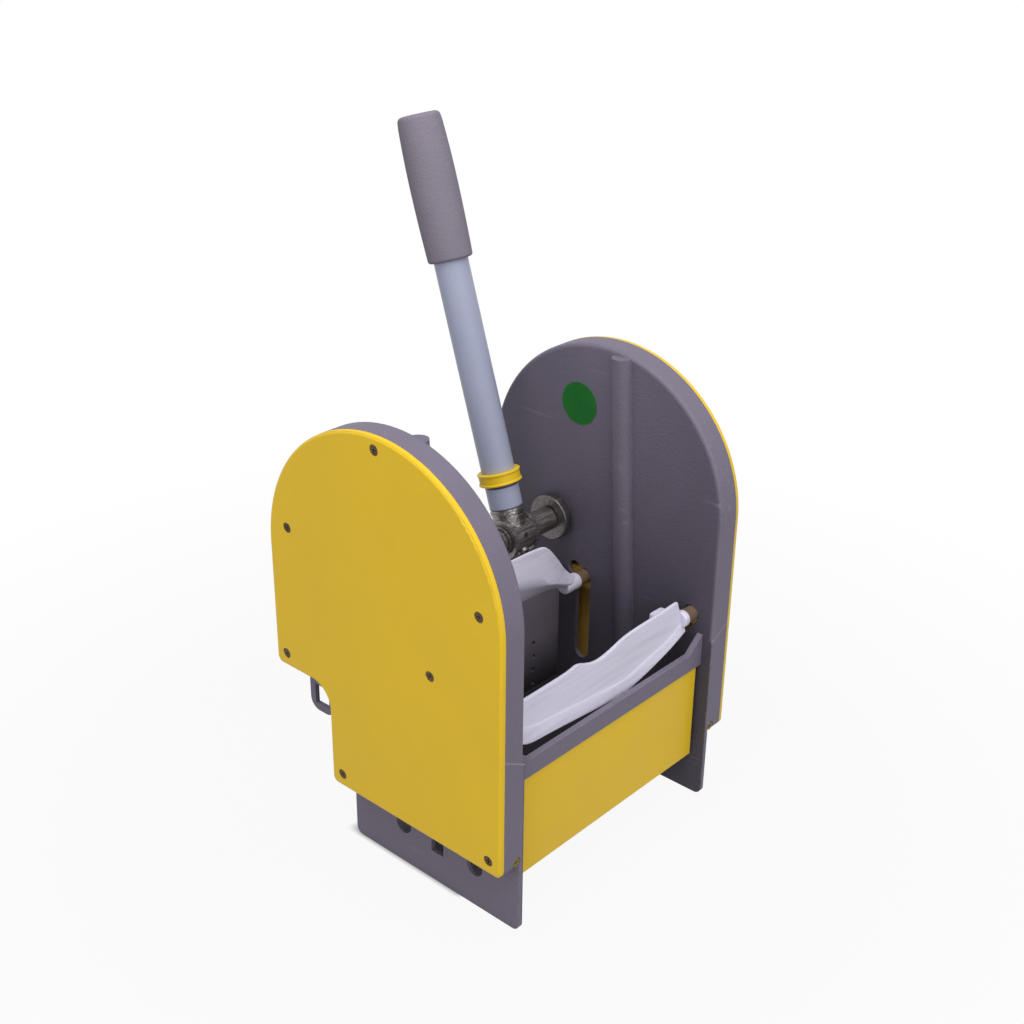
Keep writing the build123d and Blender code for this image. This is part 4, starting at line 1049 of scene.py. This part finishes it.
def light_world(context, stage):
    """Even white room, as bright as the floor where it is seen."""
    world = bpy.data.worlds.new("studio")
    context.scene.world = world
    world.use_nodes = True
    tree = Tree(world.node_tree)
    background = world.node_tree.nodes["Background"]
    background.inputs["Color"].default_value = WHITE
    tree.feed(background.inputs["Strength"], tree.span(shown_rays(tree), 0.0, 1.0, stage.world, 1.0))


def add_lamp(context, name, place, target, size, watts):
    """Soft square lamp turned to a target."""
    lamp = bpy.data.lights.new(name, "AREA")
    lamp.shape = "SQUARE"
    lamp.size = size
    lamp.energy = watts
    holder = bpy.data.objects.new(name, lamp)
    holder.location = place
    holder.rotation_euler = (Vector(target) - Vector(place)).to_track_quat("-Z", "Y").to_euler()
    context.scene.collection.objects.link(holder)


def add_camera(context, stage):
    """Camera at the photograph's viewing angle."""
    azimuth, elevation, roll = stage.azimuth, stage.elevation, stage.roll
    back = Vector((sin(azimuth) * cos(elevation), -cos(azimuth) * cos(elevation), sin(elevation)))
    level = Vector((cos(azimuth), sin(azimuth), 0.0))
    above = back.cross(level)
    right = cos(roll) * level + sin(roll) * above
    up = cos(roll) * above - sin(roll) * level
    data = bpy.data.cameras.new("camera")
    data.lens = stage.lens
    data.sensor_width = 36.0
    camera = bpy.data.objects.new("camera", data)
    turn = Matrix((right, up, back)).transposed().to_4x4()
    camera.matrix_world = Matrix.Translation(ARCH_CENTRE + Vector(stage.camera_place)) @ turn
    context.scene.collection.objects.link(camera)
    context.scene.camera = camera


class WRINGER_OT_stage(bpy.types.Operator):
    """Add the pale floor, the lights and the camera"""

    bl_idname = "wringer.stage"
    bl_label = "Stage"

    def execute(self, context):
        stage = context.scene.wringer_stage
        bm = bmesh.new()
        bmesh.ops.create_circle(bm, cap_ends=True, radius=30.0, segments=64)
        mesh = bpy.data.meshes.new("floor")
        bm.to_mesh(mesh)
        bm.free()
        floor = bpy.data.objects.new("floor", mesh)
        context.scene.collection.objects.link(floor)
        mesh.materials.append(floor_material(stage))
        light_world(context, stage)
        for name, watts in (("overhead", stage.key), ("side", stage.side), ("front", stage.front)):
            add_lamp(context, name, *LAMPS[name], watts)
        add_camera(context, stage)
        context.scene.view_settings.view_transform = "Standard"
        return {"FINISHED"}


class WRINGER_PT_panel(bpy.types.Panel):
    """Lists the wringer's operators and settings"""

    bl_idname = "WRINGER_PT_panel"
    bl_label = "Mop Wringer"
    bl_space_type = "VIEW_3D"
    bl_region_type = "UI"
    bl_category = "Wringer"

    def draw(self, context):
        for operator in OPERATORS:
            self.layout.operator(operator.bl_idname)
        for group in (context.scene.wringer_colours, context.scene.wringer_sizes, context.scene.wringer_stage):
            for key in group.__annotations__:
                self.layout.prop(group, key)


OPERATORS = (
    WRINGER_OT_finishes,
    WRINGER_OT_housings,
    WRINGER_OT_screws,
    WRINGER_OT_jaws,
    WRINGER_OT_handle,
    WRINGER_OT_hub,
    WRINGER_OT_stage,
)
CLASSES = (WringerColours, WringerSizes, WringerStage, *OPERATORS, WRINGER_PT_panel)


def register():
    for cls in CLASSES:
        bpy.utils.register_class(cls)
    bpy.types.Scene.wringer_colours = PointerProperty(type=WringerColours)
    bpy.types.Scene.wringer_sizes = PointerProperty(type=WringerSizes)
    bpy.types.Scene.wringer_stage = PointerProperty(type=WringerStage)


def unregister():
    del bpy.types.Scene.wringer_stage
    del bpy.types.Scene.wringer_sizes
    del bpy.types.Scene.wringer_colours
    for cls in reversed(CLASSES):
        bpy.utils.unregister_class(cls)


def main():
    register()
    bpy.ops.wringer.finishes()
    bpy.ops.wringer.housings()
    bpy.ops.wringer.screws()
    bpy.ops.wringer.jaws()
    bpy.ops.wringer.handle()
    bpy.ops.wringer.hub()
    bpy.ops.wringer.stage()


if __name__ == "__main__":
    main()
